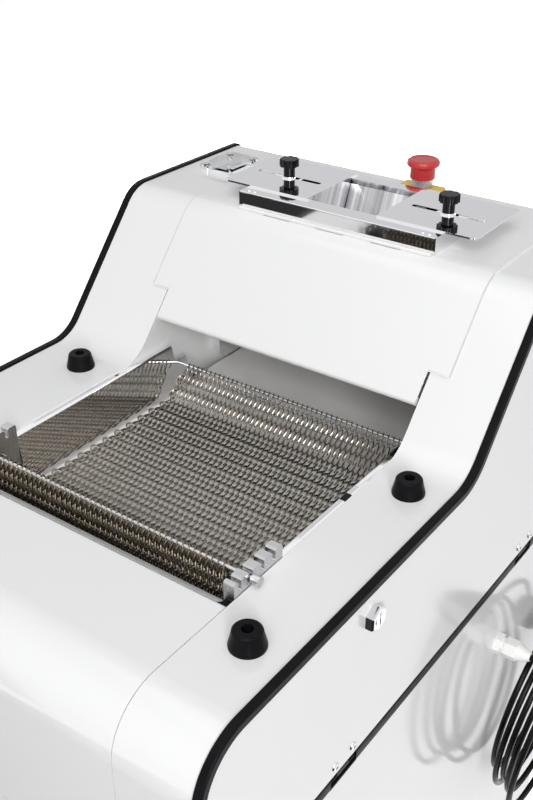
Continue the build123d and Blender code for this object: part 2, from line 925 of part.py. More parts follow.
# Side doors: sheet, black edge trim, hinge leaves, lock housings and lock plugs
lock_hex = 23.0
lock_plug_radius = 6.5
lock_sleeve_radius = 9.5
lock_cam_reach = 27.0
lock_head = 8.0
lock_chamfer = 1.5
key_slot_width = 2.0
key_slot_depth = 2.2
cam_depth = side_face - cover_half + sheet + fit_gap
lock_depth = cam_depth - 2 * fit_gap
cam_half = 7.0
cam_sheet = 3.0
leaf_sheet = 2.5
door_edge_gap = 0.2
leaf_height = 34.0
hinge_z = above(-seam_drop)
door_knuckle = hinge_length / 2
end_knuckle = (hinge_length - door_knuckle) / 2 - fit_gap

for side_name, side in (("left", -1), ("right", 1)):
    inner_face = side_face - door_thickness
    door_face = skin_face(side * inner_face, trim_crown - trim_rise + door_edge_gap, -door_foot)
    lock_spots = [at(place, -lock_drop) for place in lock_places]

    with BuildPart() as door:
        extrude(door_face, amount=side * door_thickness)
        with BuildSketch(Plane.YZ.offset(side * inner_face)):
            with Locations(*lock_spots):
                Circle(lock_sleeve_radius)
        extrude(amount=side * door_thickness, mode=Mode.SUBTRACT)
    keep(door, f"{side_name}_door")

    outer_band = skin_band(side * trim_inner, -trim_rise, trim_depth, -door_foot, -door_foot)
    slot_band = skin_band(side * inner_face, trim_crown - trim_rise, trim_depth, -door_foot, -door_foot)
    inside_trim = skin_face(0, -trim_rise / 2, -door_foot).face()
    with BuildPart() as door_trim:
        extrude(outer_band, amount=side * trim_width)
        ends = door_trim.faces().filter_by(Axis.X)
        rims = ends.edges().filter_by(lambda edge: edge.length > trim_rise + trim_depth + fit_gap)
        crown_rims = rims.filter_by(lambda edge: not inside_trim.is_inside((0, *tuple(edge @ 0.5)[1:])))
        fillet(crown_rims, trim_rounding)
        extrude(slot_band, amount=side * door_thickness, mode=Mode.SUBTRACT)
    keep(door_trim, f"{side_name}_door_trim")

    head_side = Axis.X if side > 0 else -Axis.X
    with BuildPart() as lock_housings:
        with BuildSketch(Plane.YZ.offset(side * side_face)):
            with Locations(*lock_spots):
                RegularPolygon(lock_hex / 2, 6, major_radius=False, rotation=30)
        extrude(amount=side * lock_head)
        chamfer(lock_housings.faces().group_by(head_side)[-1].edges(), lock_chamfer)
        with BuildSketch(Plane.YZ.offset(side * (side_face - lock_depth))):
            with Locations(*lock_spots):
                Circle(lock_sleeve_radius - running_clearance)
        extrude(amount=side * lock_depth)
        with BuildSketch(Plane.YZ.offset(side * (side_face - lock_depth))):
            with Locations(*lock_spots):
                Circle(lock_plug_radius + running_clearance)
        extrude(amount=side * (lock_depth + lock_head), mode=Mode.SUBTRACT)

    # The door's leaf turns on the middle of each pin
    with BuildPart() as door_fittings:
        for place in hinge_places:
            with BuildSketch(Plane.XZ.offset(-behind(place) - door_knuckle / 2)):
                with Locations((side * hinge_x, hinge_z)):
                    Circle(knuckle_radius)
                with Locations((side * (inner_face - leaf_sheet / 2), hinge_z)):
                    Rectangle(leaf_sheet, leaf_height, align=(Align.CENTER, Align.MIN))
                with Locations((side * hinge_x, hinge_z)):
                    Circle(hinge_pin_radius + running_clearance, mode=Mode.SUBTRACT)
            extrude(amount=door_knuckle)
        add(lock_housings.part)
    keep(door_fittings, f"{side_name}_door_fittings")

    for lock_name, place in zip(("front", "rear"), lock_places):
        spot = at(place, -lock_drop)
        with BuildPart() as lock_plug:
            with BuildSketch(Plane.YZ.offset(side * (side_face - cam_depth))):
                with Locations(spot):
                    Circle(lock_plug_radius)
            extrude(amount=side * (cam_depth + lock_head + fit_gap))
            with BuildSketch(Plane.YZ.offset(side * (side_face + lock_head + fit_gap))):
                with Locations(spot):
                    Rectangle(key_slot_width, 2 * (lock_plug_radius + fit_gap))
            extrude(amount=-side * key_slot_depth, mode=Mode.SUBTRACT)
            with BuildSketch(Plane.YZ.offset(side * (side_face - cam_depth))):
                with Locations((spot[0] + (lock_cam_reach - cam_half) / 2, spot[1])):
                    SlotOverall(lock_cam_reach + cam_half, 2 * cam_half)
            extrude(amount=-side * cam_sheet)
        keep(lock_plug, f"{side_name}_{lock_name}_lock")

# Fixed halves of the door hinges: a leaf with two end knuckles, and the pin
with BuildPart() as door_hinge_bases:
    for side in (-1, 1):
        leaf_x = side * (side_face - sheet - leaf_sheet / 2)
        for place in hinge_places:
            for end in (-1, 1):
                knuckle_mid = place + end * (hinge_length - end_knuckle) / 2
                with BuildSketch(Plane.XZ.offset(-behind(knuckle_mid) - end_knuckle / 2)):
                    with Locations((side * hinge_x, hinge_z)):
                        Circle(knuckle_radius)
                    with Locations((leaf_x, hinge_z)):
                        Rectangle(leaf_sheet, leaf_height, align=(Align.CENTER, Align.MAX))
                extrude(amount=end_knuckle)
            with Locations((leaf_x, behind(place), hinge_z - leaf_height)):
                Box(
                    leaf_sheet,
                    hinge_length,
                    leaf_height - 2 * knuckle_radius,
                    align=(Align.CENTER, Align.CENTER, Align.MIN),
                )
            with BuildSketch(Plane.XZ.offset(-behind(place) - hinge_length / 2)):
                with Locations((side * hinge_x, hinge_z)):
                    Circle(hinge_pin_radius)
            extrude(amount=hinge_length)
keep(door_hinge_bases, "door_hinge_bases")

# Curling net: straight runs of linked rows, from the rear rod over the belt to the front rod
net_level = -belt_drop + net_rest_gap + net_thickness / 2
net_rod_gap = 0.8
net_drum_gap = 0.3
net_hang = (3.2, 2.6)
net_landing = 39.0
net_fold_at = 222.0
net_crest = (4.5, 3.8)
net_skirt = ((13.7, 60.0), (4.2, 28.0), (0.0, 0.0), (3.2, -22.0))
rod_over = front_rod_rise + rod_radius + net_thickness / 2 + net_rod_gap
net_front = front_drum_at - belt_outer_radius - net_thickness - net_drum_gap
net_route = [
    (rear_rod_at - net_hang[0], -rear_rod_drop - net_hang[1]),
    (rear_rod_at - net_landing, net_level),
    (net_fold_at, net_level),
    (front_rod_at + net_crest[0], rod_over),
    (front_rod_at - net_crest[1], rod_over),
    *[(net_front + back, rise - drum_drop) for back, rise in net_skirt],
]
net_bends = [14.0, 14.0, 3.0, 3.0, 20.0, 20.0, 20.0]
net_run_margin = 12.0
net_link_width = 6.0
net_bar_width = 3.0
with BuildPart() as curling_net:
    with BuildSketch(Plane.YZ.offset(belt_offset - net_half_width)):
        with BuildLine():
            FilletPolyline(*[at(*point) for point in net_route], radius=net_bends)
            offset(amount=net_thickness / 2, side=Side.BOTH)
        make_face()
    extrude(amount=2 * net_half_width)
    gap_pitch = 2 * net_half_width / net_gaps_across
    for start, end in zip(net_route, net_route[1:]):
        run = Vector(0, end[0] - start[0], end[1] - start[1])
        rows = int((run.length - net_run_margin) / net_row_pitch)
        if rows < 1:
            continue
        middle = Vector(belt_offset, *at((start[0] + end[0]) / 2, (start[1] + end[1]) / 2))
        run_plane = Plane(origin=middle, x_dir=(1, 0, 0), z_dir=Vector(1, 0, 0).cross(run))
        with BuildSketch(run_plane):
            with GridLocations(gap_pitch, net_row_pitch, net_gaps_across, rows):
                Rectangle(gap_pitch - net_link_width, net_row_pitch - net_bar_width)
        extrude(amount=net_thickness, both=True, mode=Mode.SUBTRACT)
keep(curling_net, "curling_net")

rod_cap_radius = 4.8
rod_cap_length = 8.0
rod_past_channel = 1.0
rod_past_guide = 4.0
front_rod_half = channel_half + rod_past_channel
net_front_rod = stepped_bar(
    at(front_rod_at, front_rod_rise),
    [
        (belt_offset - front_rod_half, belt_offset + front_rod_half, rod_radius),
        (belt_offset - front_rod_half - rod_cap_length, belt_offset - front_rod_half, rod_cap_radius),
        (belt_offset + front_rod_half, belt_offset + front_rod_half + rod_cap_length, rod_cap_radius),
    ],
)
rear_rod_half = guide_top_half + guide_sheet + rod_past_guide
net_rear_rod = stepped_bar(
    at(rear_rod_at, -rear_rod_drop),
    [(belt_offset - rear_rod_half, belt_offset + rear_rod_half, rod_radius)],
)
with BuildPart() as net_rods:
    add(net_front_rod.part)
    add(net_rear_rod.part)
keep(net_rods, "net_rods")

# Combs with notches for the front rod, polished guides beside the belt, a bracket on the left wall
notch_clearance = 0.3
notch_radius = rod_radius + notch_clearance
comb_outer = channel_half - fit_gap
comb_drop = 34.0
comb_chamfer = 1.6
with BuildPart() as rod_combs:
    for side in (-1, 1):
        with BuildSketch(Plane.YZ.offset(belt_offset + side * comb_outer)):
            with Locations(at(comb_start, -comb_drop)):
                Rectangle(comb_end - comb_start, comb_drop + comb_rise, align=(Align.MIN, Align.MIN))
            for step in notch_steps:
                with Locations(at(front_rod_at + step * notch_pitch, front_rod_rise)):
                    Circle(notch_radius, mode=Mode.SUBTRACT)
                    Rectangle(
                        2 * notch_radius,
                        comb_rise,
                        align=(Align.CENTER, Align.MIN),
                        mode=Mode.SUBTRACT,
                    )
        extrude(amount=-side * comb_thickness)
    chamfer(rod_combs.edges().filter_by(Axis.X).group_by(Axis.Z)[-1], comb_chamfer)
keep(rod_combs, "rod_combs")

guide_top = -fit_gap
guide_belt_gap = 2.0
guide_foot = -belt_drop + guide_belt_gap
guide_lip = 20.0
guide_hook = 22.0
guide_bend = 3.0
bracket_at = 598.5
bracket_length = 51.0
bracket_drop = 24.0
bracket_height = 32.0
bracket_corner = 12.0
bracket_depth = 12.0
guide_lean = (guide_top_half - guide_foot_half) / (guide_top - guide_foot)


def guide_line(side, depth):
    """Section line of a leaning guide, a depth inside its visible face."""
    shift = depth * (1 + guide_lean**2) ** 0.5
    foot_x = belt_offset + side * (guide_foot_half + shift)
    top_x = belt_offset + side * (guide_top_half + shift - guide_lean * depth)
    lip_x = belt_offset + side * (channel_half - depth)
    return [
        (foot_x, above(guide_foot)),
        (top_x, above(guide_top - depth)),
        (lip_x, above(guide_top - depth)),
        (lip_x, above(-guide_lip)),
    ]


guide_sections = [
    bent_sheet(
        Plane.XZ.offset(-behind(guide_start)),
        guide_line(side, 0),
        [guide_bend] * 2,
        guide_line(side, guide_sheet),
        [guide_bend - guide_sheet] * 2,
    )
    for side in (-1, 1)
]
with BuildPart() as belt_guides:
    for section in guide_sections:
        extrude(section, amount=guide_start - guide_end - guide_hook)
    with Locations((belt_offset, behind(guide_end), above(-guide_lip))):
        Box(
            2 * channel_width,
            2 * guide_hook,
            2 * guide_lip,
            align=(Align.CENTER, Align.MIN, Align.MIN),
            mode=Mode.SUBTRACT,
        )
    with BuildSketch(Plane.YZ.offset(belt_offset - channel_width)):
        with Locations(at(rear_rod_at, -rear_rod_drop)):
            Circle(notch_radius)
            Rectangle(2 * notch_radius, guide_lip, align=(Align.CENTER, Align.MIN))
    extrude(amount=2 * channel_width, mode=Mode.SUBTRACT)
    with BuildSketch(Plane.YZ.offset(belt_offset - channel_half)) as bracket:
        with Locations(at(bracket_at, -bracket_drop)):
            Rectangle(bracket_length, bracket_height, align=(Align.CENTER, Align.MAX))
        chamfer(bracket.vertices().group_by(Axis.Y)[0], bracket_corner)
    extrude(amount=bracket_depth)
keep(belt_guides, "belt_guides")

# Rubber bumpers on the deck
bumper_gap = 43.3
bumper_half = channel_half + bumper_gap
bumper_shift = -1.4
bumper_places = (119.7, 380.4)
bumper_base = 16.5
bumper_crown = 13.2
bumper_height = 18.0
bumper_edge = 1.5
bumper_rim = 2.5
bumper_bore = 3.0
bumper_socket = 5.4
bumper_floor = 6.0
bumper_spots = [
    (belt_offset + bumper_shift + side * bumper_half, behind(place), deck_height)
    for side in (-1, 1)
    for place in bumper_places
]
with BuildPart() as bumper:
    with BuildSketch(Plane.XZ):
        with BuildLine():
            Polyline(
                (bumper_bore, 0),
                (bumper_base, 0),
                (bumper_base, bumper_rim),
                (bumper_crown, bumper_height - bumper_edge),
                (bumper_crown - bumper_edge, bumper_height),
                (bumper_socket, bumper_height),
                (bumper_socket, bumper_floor),
                (bumper_bore, bumper_floor),
                close=True,
            )
        make_face()
    revolve(axis=Axis.Z)
with BuildPart() as deck_bumpers:
    with Locations(*bumper_spots):
        add(bumper.part)
keep(deck_bumpers, "deck_bumpers")

# Hopper: raised frame, skirt and chute to the nip of the rollers
mouth_mid = behind((mouth_front + mouth_rear) / 2)
hopper_mid = behind((hopper_front + hopper_rear) / 2)
hopper_depth = hopper_rear - hopper_front
frame_under = above(hopper_top - hopper_sheet)


def chute_face(x, wall, top):
    """Tapering side view of the chute, widened by a wall."""
    half_top = (mouth_rear - mouth_front) / 2 + wall
    with BuildSketch(Plane.YZ.offset(x)) as face:
        with BuildLine():
            Polyline(
                (mouth_mid - half_top, above(top)),
                (mouth_mid + half_top, above(top)),
                (mouth_mid + chute_half + wall, above(chute_foot)),
                (mouth_mid - chute_half - wall, above(chute_foot)),
                close=True,
            )
        make_face()
    return face.sketch


chute_top = hopper_top - hopper_sheet
chute_outer = chute_face(hopper_x - mouth_half - hopper_sheet, hopper_sheet, chute_top)
chute_inner = chute_face(hopper_x - mouth_half, 0, chute_top)
with BuildPart() as hopper:
    with BuildSketch(Plane.XY.offset(above(panel_rise))):
        with Locations((hopper_x, hopper_mid)):
            Rectangle(hopper_width, hopper_depth)
            Rectangle(hopper_width - 2 * hopper_sheet, hopper_depth - 2 * hopper_sheet, mode=Mode.SUBTRACT)
    extrude(amount=hopper_rise)
    with BuildSketch(Plane.XY.offset(frame_under)):
        with Locations((hopper_x, hopper_mid)):
            Rectangle(hopper_width, hopper_depth)
    extrude(amount=hopper_sheet)
    fillet(hopper.edges().filter_by(Axis.Z).group_by(SortBy.DISTANCE)[-1], hopper_corner)
    extrude(chute_outer, amount=2 * (mouth_half + hopper_sheet))
    extrude(chute_inner, amount=2 * mouth_half, mode=Mode.SUBTRACT)
    with Locations((hopper_x, mouth_mid, frame_under)):
        Box(
            2 * mouth_half,
            mouth_rear - mouth_front,
            4 * hopper_sheet,
            align=(Align.CENTER, Align.CENTER, Align.CENTER),
            mode=Mode.SUBTRACT,
        )
keep(hopper, "hopper")

# Sliding guide plates: flat top with a slot, and a leg that closes the side of the chute
leg_clearance = 1.2
plate_front_corner = 8.0
plate_rear_corner = 3.0
leg_drop = hopper_top - plate_leg_foot
chute_taper = ((mouth_rear - mouth_front) / 2 - chute_half) / (chute_top - chute_foot)
for name, side in (("left_guide_plate", -1), ("right_guide_plate", 1)):
    half_top = (mouth_rear - mouth_front) / 2 - leg_clearance
    half_foot = half_top - chute_taper * leg_drop
    plate_x = hopper_x + side * (plate_inner + plate_outer) / 2
    with BuildPart() as guide_plate:
        with BuildSketch(Plane.XY.offset(above(hopper_top))):
            with Locations((plate_x, behind((plate_front + plate_rear) / 2))):
                Rectangle(plate_outer - plate_inner, plate_rear - plate_front)
            with Locations((hopper_x + side * knob_at, behind(knob_behind))):
                SlotOverall(slot_length, slot_width, mode=Mode.SUBTRACT)
        extrude(amount=plate_sheet)
        corner_side = Axis.X if side > 0 else -Axis.X
        corners = guide_plate.edges().filter_by(Axis.Z).group_by(corner_side)[-1].sort_by(Axis.Y)
        fillet(corners[0], plate_front_corner)
        corners = guide_plate.edges().filter_by(Axis.Z).group_by(corner_side)[-1].sort_by(Axis.Y)
        fillet(corners[-1], plate_rear_corner)
        with BuildSketch(Plane.YZ.offset(hopper_x + side * plate_inner)):
            with BuildLine():
                Polyline(
                    (mouth_mid - half_top, above(hopper_top + plate_sheet)),
                    (mouth_mid + half_top, above(hopper_top + plate_sheet)),
                    (mouth_mid + half_top, above(hopper_top - hopper_sheet)),
                    (mouth_mid + half_foot, above(plate_leg_foot)),
                    (mouth_mid - half_foot, above(plate_leg_foot)),
                    (mouth_mid - half_top, above(hopper_top - hopper_sheet)),
                    close=True,
                )
            make_face()
        extrude(amount=side * plate_sheet)
    keep(guide_plate, name)

# Clamp studs, washers and fluted knobs
stud_spots = [(hopper_x + side * knob_at, behind(knob_behind)) for side in (-1, 1)]
plate_top = above(hopper_top + plate_sheet)
washer_height = 2.0
washer_radius = 9.0
stud_height = 17.0
with BuildPart() as clamp_studs:
    with BuildSketch(Plane.XY.offset(above(hopper_top))):
        with Locations(*stud_spots):
            Circle(stud_radius)
    extrude(amount=stud_height)
    with BuildSketch(Plane.XY.offset(plate_top)):
        with Locations(*stud_spots):
            Circle(washer_radius)
            Circle(stud_radius + fit_gap, mode=Mode.SUBTRACT)
    extrude(amount=washer_height)
keep(clamp_studs, "clamp_studs")

knob_head_radius = 12.0
knob_stem_radius = 7.0
knob_height = 21.0
knob_head = 9.0
knob_flutes = 8
flute_radius = 2.6
flute_outset = 1.2
knob_chamfer = 1.0
knob_foot = plate_top + washer_height
for name, spot in zip(("left_clamp_knob", "right_clamp_knob"), stud_spots):
    with BuildPart() as knob:
        with BuildSketch(Plane.XY.offset(knob_foot)):
            with Locations(spot):
                Circle(knob_stem_radius)
        extrude(amount=knob_height - knob_head)
        with BuildSketch(Plane.XY.offset(knob_foot + knob_height - knob_head)):
            with Locations(spot):
                Circle(knob_head_radius)
                with PolarLocations(knob_head_radius + flute_outset, knob_flutes):
                    Circle(flute_radius, mode=Mode.SUBTRACT)
        extrude(amount=knob_head)
        chamfer(knob.faces().sort_by(Axis.Z)[-1].edges(), knob_chamfer)
        with BuildSketch(Plane.XY.offset(knob_foot)):
            with Locations(spot):
                Circle(stud_radius + running_clearance)
        extrude(amount=stud_height, mode=Mode.SUBTRACT)
    keep(knob, name)

# Guard flap: bent sheet over the slope, hemmed lower edge, hinge barrels at its top
flap_sheet_part = brow_sheet(
    belt_offset - flap_upper_width / 2,
    flap_over,
    flap_under,
    slope_start,
    flap_axis_at - flap_joint_gap,
    flap_upper_width,
)
hem_radius = 4.6
step_cut_before = 30.0
step_cut_length = 200.0
hem_inset = flap_over + hem_radius
hem_place = at(edge_at + hem_inset * sin(slope), flap_edge_rise - hem_inset * cos(slope))
with BuildPart() as guard_flap:
    add(flap_sheet_part.part)
    for side in (-1, 1):
        step_x = belt_offset + side * flap_lower_width / 2
        with Locations((step_x, behind(edge_at - step_cut_before), above(0))):
            Box(
                flap_upper_width,
                step_cut_length,
                flap_step_rise,
                align=(Align.MIN if side > 0 else Align.MAX, Align.MIN, Align.MIN),
                mode=Mode.SUBTRACT,
            )
    with BuildSketch(Plane.YZ.offset(belt_offset - flap_lower_width / 2)):
        with Locations(hem_place):
            Circle(hem_radius)
    extrude(amount=flap_lower_width)
    for start in knuckle_starts[1::2]:
        with Locations((start + knuckle_pitch / 2, *axis_place)):
            Box(knuckle_pitch + 2 * fit_gap, hinge_recess, 4 * hinge_recess, mode=Mode.SUBTRACT)
    for start in knuckle_starts[0::2]:
        with BuildSketch(Plane.YZ.offset(start)):
            with Locations(axis_place):
                Circle(flap_barrel_radius)
        extrude(amount=knuckle_pitch)
    with BuildSketch(Plane.YZ.offset(belt_offset - flap_upper_width)):
        with Locations(axis_place):
            Circle(flap_pin_radius + running_clearance)
    extrude(amount=2 * flap_upper_width, mode=Mode.SUBTRACT)
keep(guard_flap, "guard_flap")

leaf_end = flap_axis_at + hinge_recess / 2
with BuildPart() as flap_hinge:
    for start in knuckle_starts[1::2]:
        leaf_x = start + fit_gap / 2
        leaf_width = knuckle_pitch - fit_gap
        leaf = brow_sheet(leaf_x, -flap_sheet, 0, flap_axis_at, leaf_end, leaf_width)
        add(leaf.part)
        with BuildSketch(Plane.YZ.offset(leaf_x)):
            with Locations(axis_place):
                Circle(flap_barrel_radius)
        extrude(amount=leaf_width)
    with BuildSketch(Plane.YZ.offset(knuckle_left)):
        with Locations(axis_place):
            Circle(flap_pin_radius)
    extrude(amount=flap_knuckles * knuckle_pitch)
keep(flap_hinge, "flap_hinge")

# Acrylic window on four studs with cap nuts
window_x, window_at = window_place
window_y = behind(window_at)
stud_pitch = (37.0, 50.0)
standoff = 6.0
standoff_radius = 4.0
window_size = (50.0, 66.0)
window_corner = 4.0
window_sheet = 3.0
window_stud_radius = 2.05
window_stud_end = 1.0
nut_radius = 3.6
nut_height = 3.0
hood_top = above(hood_rise)
window_stud_height = standoff + window_sheet + window_stud_end
with BuildPart() as window_plate:
    with BuildSketch(Plane.XY.offset(hood_top + standoff)):
        with Locations((window_x, window_y)):
            RectangleRounded(*window_size, window_corner)
            with GridLocations(*stud_pitch, 2, 2):
                Circle(window_stud_radius + running_clearance, mode=Mode.SUBTRACT)
    extrude(amount=window_sheet)
keep(window_plate, "window_plate")
with BuildPart() as window_studs:
    with Locations((window_x, window_y, hood_top)):
        with GridLocations(*stud_pitch, 2, 2):
            Cylinder(standoff_radius, standoff, align=(Align.CENTER, Align.CENTER, Align.MIN))
            Cylinder(window_stud_radius, window_stud_height, align=(Align.CENTER, Align.CENTER, Align.MIN))
    with BuildSketch(Plane.XY.offset(hood_top + standoff + window_sheet)):
        with Locations((window_x, window_y)):
            with GridLocations(*stud_pitch, 2, 2):
                RegularPolygon(nut_radius, 6)
    extrude(amount=nut_height)
keep(window_studs, "window_studs")

# Emergency stop: yellow plate, collar with its contact block, red mushroom head
stop_x = belt_offset + stop_offset
stop_y = behind(stop_at)
stop_seat = above(panel_rise)
stop_plate_size = (56.0, 26.0)
stop_plate_height = 3.0
stop_plate_corner = 4.0
stop_thread_gap = 0.25
collar_radius = 13.3
collar_height = 11.3
stop_travel = 4.0
stop_stem_radius = 8.0
contact_block = (30.0, 30.0, 36.0)
contact_drop = 10.0
with BuildPart() as stop_plate:
    with BuildSketch(Plane.XY.offset(stop_seat)):
        with Locations((stop_x, stop_y)):
            RectangleRounded(*stop_plate_size, stop_plate_corner)
            Circle(stop_hole_radius, mode=Mode.SUBTRACT)
    extrude(amount=stop_plate_height)
keep(stop_plate, "stop_plate")
collar_foot = stop_seat + stop_plate_height
stop_thread_radius = stop_hole_radius - stop_thread_gap
stem_bore_depth = collar_height + contact_drop
with BuildPart() as stop_base:
    with Locations((stop_x, stop_y, collar_foot)):
        Cylinder(collar_radius, collar_height, align=(Align.CENTER, Align.CENTER, Align.MIN))
        Cylinder(stop_thread_radius, 2 * contact_drop, align=(Align.CENTER, Align.CENTER, Align.MAX))
    with Locations((stop_x, stop_y, stop_seat - contact_drop)):
        Box(*contact_block, align=(Align.CENTER, Align.CENTER, Align.MAX))
    with Locations((stop_x, stop_y, collar_foot + collar_height)):
        Cylinder(
            stop_stem_radius + running_clearance,
            stem_bore_depth,
            align=(Align.CENTER, Align.CENTER, Align.MAX),
            mode=Mode.SUBTRACT,
        )
keep(stop_base, "stop_base")

# The head's skirt slides over the collar when it is pressed
skirt_radius = 15.6
skirt_bore = collar_radius + fit_gap
skirt_gap = 0.3
skirt_height = 13.4
stop_end_gap = 1.0
head_radius = 20.5
head_flare = 3.4
head_height = 7.0
head_edge = 1.0
head_side_drop = 3.6
head_round = 1.2
head_crown = 4.0
dish_rim = 5.6
dish_inset = 6.2
dish_depth = 0.7
skirt_foot = collar_height + skirt_gap
skirt_roof = skirt_foot + stop_travel + stop_end_gap
head_foot = skirt_foot + skirt_height
head_rim = head_foot + head_flare
head_top = head_rim + head_height
stem_foot = collar_height - stem_bore_depth + stop_travel + stop_end_gap
head_profile = [
    (0, stem_foot),
    (stop_stem_radius, stem_foot),
    (stop_stem_radius, skirt_roof),
    (skirt_bore, skirt_roof),
    (skirt_bore, skirt_foot),
    (skirt_radius, skirt_foot),
    (skirt_radius, head_foot),
    (head_radius - head_edge, head_rim - head_edge),
    (head_radius, head_rim + head_edge),
    (head_radius, head_top - head_side_drop),
    (head_radius - head_round, head_top - head_round),
    (head_radius - head_crown, head_top),
    (head_radius - dish_rim, head_top),
    (head_radius - dish_inset, head_top - dish_depth),
    (0, head_top - dish_depth),
]
stop_plane = Plane(origin=(stop_x, stop_y, collar_foot), x_dir=(1, 0, 0), z_dir=(0, -1, 0))
with BuildPart() as stop_head:
    with BuildSketch(stop_plane):
        with BuildLine():
            Polyline(*head_profile, close=True)
        make_face()
    revolve(axis=Axis((stop_x, stop_y, 0), (0, 0, 1)))
keep(stop_head, "stop_head")

# Mains cable: gland, lead, hanging coil, tail and plug
gland_base_radius = 13.5
gland_base_height = 8.0
gland_neck_radius = 10.5
gland_neck_height = 4.0
gland_nut_radius = 13.0
gland_nut_height = 16.0
gland_dome_radius = 11.5
gland_lip = 1.8
gland_thread_length = 12.0
gland_nut_foot = gland_base_height + gland_neck_height
gland_y = behind(gland_at)
gland_z = above(-gland_drop)
gland_plane = Plane(origin=(side_face, gland_y, gland_z), x_dir=(0, 1, 0), z_dir=(1, 0, 0))
with BuildPart() as cable_gland:
    with BuildSketch(gland_plane):
        RegularPolygon(gland_base_radius, 6)
    extrude(amount=gland_base_height)
    with BuildSketch(gland_plane.offset(gland_base_height)):
        Circle(gland_neck_radius)
    extrude(amount=gland_neck_height)
    with BuildSketch(gland_plane.offset(gland_nut_foot)):
        RegularPolygon(gland_nut_radius, 6)
    extrude(amount=gland_nut_height)
    with BuildSketch(gland_plane.offset(gland_nut_foot + gland_nut_height)):
        Circle(gland_dome_radius)
    with BuildSketch(gland_plane.offset(gland_length)):
        Circle(cable_radius + gland_lip)
    loft()
    with BuildSketch(gland_plane):
        Circle(gland_thread_radius)
    extrude(amount=-gland_thread_length)
keep(cable_gland, "cable_gland")


def coil_shape(turn):
    """Centre line of the coil from its start: ovals hung from one place, swinging and leaning on the body."""
    angle = 2 * pi * turn
    swing = radians(coil_first_swing + coil_swing_step * turn)
    size = 1.0 + coil_size_change * sin(coil_size_rate * turn)
    across = coil_half_width * size * sin(angle)
    down = coil_half_height * size * (1 - cos(angle))
    return Vector(
        -coil_pitch * turn - coil_lean * (1 - cos(angle)) / 2,
        across * cos(swing) + down * sin(swing),
        across * sin(swing) - down * cos(swing),
    )


def coil_heading(turn):
    """Direction of the coil's centre line."""
    small = 1e-4
    return (coil_shape(turn + small) - coil_shape(turn - small)).normalized()


def turned(first, second, share):
    """Direction that lies a share of the way round from one direction to another."""
    whole = radians(first.get_angle(second))
    return (first * sin((1 - share) * whole) + second * sin(share * whole)) * (1 / sin(whole))


def biarc(start, start_heading, end, end_heading):
    """Two arcs that join two points and keep both headings."""
    reach = end - start
    both = start_heading + end_heading
    spread = 2 * (1 - start_heading.dot(end_heading))
    along = reach.dot(both)
    length = (-along + (along**2 + spread * reach.dot(reach)) ** 0.5) / spread
    start_arm = start + start_heading * length
    end_arm = end - end_heading * length
    middle = (start_arm + end_arm) * 0.5
    TangentArc(start, middle, tangent=start_heading)
    TangentArc(middle, end, tangent=end_arm - start_arm)


in_heading = coil_heading(0)
out_heading = coil_heading(coil_turns)
gland_tip = Vector(side_face + gland_length, gland_y, gland_z)
lead_route = [gland_tip]
for step in range(lead_turns + 1):
    lead_route.append(lead_route[-1] + turned(Vector(1, 0, 0), in_heading, step / lead_turns) * lead_run)
coil_in = lead_route[-1]
coil_start = coil_in + in_heading * 2 * cable_radius


def coil_point(turn):
    """Point of the coil's centre line where it hangs."""
    return coil_start + coil_shape(turn)


coil_out = coil_point(coil_turns) + out_heading * 2 * cable_radius
quarters = [index / 4 for index in range(4 * coil_turns + 1)]
with BuildPart() as cable_coil:
    with BuildLine() as coil_line:
        Line(coil_in, coil_point(0))
        for turn, following in zip(quarters, quarters[1:]):
            biarc(coil_point(turn), coil_heading(turn), coil_point(following), coil_heading(following))
        Line(coil_point(coil_turns), coil_out)
    with BuildSketch(Plane(origin=coil_in, x_dir=(1, 0, 0), z_dir=in_heading)):
        RegularPolygon(cable_radius, cable_sides)
    sweep(path=coil_line.wire())
keep(cable_coil, "cable_coil")


cable_section = cable_sides / 2 * cable_radius**2 * sin(2 * pi / cable_sides)


def cord_tube(points):
    """Cable along straight runs joined by arcs, each as large as its two runs allow."""
    route = [Vector(*point) for point in points]
    runs = [after - before for before, after in zip(route, route[1:])]
    radii = []
    for before, after in zip(runs, runs[1:]):
        half_turn = radians(before.get_angle(after)) / 2
        radii.append(cord_arc_share * min(before.length, after.length) / tan(half_turn))
    with BuildPart() as tube:
        with BuildLine() as line:
            FilletPolyline(*route, radius=radii)
        with BuildSketch(Plane(origin=route[0], z_dir=runs[0])):
            RegularPolygon(cable_radius, cable_sides)
        sweep(path=line.wire())
    length = line.wire().length
    print("cord radii", [round(radius, 1) for radius in radii], "length", round(length, 1))
    print("cord volume over section times length", round(tube.part.volume / (cable_section * length), 4))
    return tube


keep(cord_tube(lead_route), "cable_lead")
tail_route = [coil_out]
for ahead, across, up in tail_points:
    tail_route.append(coil_out + out_heading * ahead + Vector(across, 0, up))
keep(cord_tube(tail_route), "cable_tail")

turn_samples = 96
near_samples = 40
samples = [coil_point(index / turn_samples) for index in range(turn_samples * coil_turns + 1)]
least = min(
    (first - second).length
    for index, first in enumerate(samples)
    for second in samples[index + near_samples :]
)
print("coil least gap", round(least - 2 * cable_radius, 2), "coil length", round(coil_line.wire().length, 1))

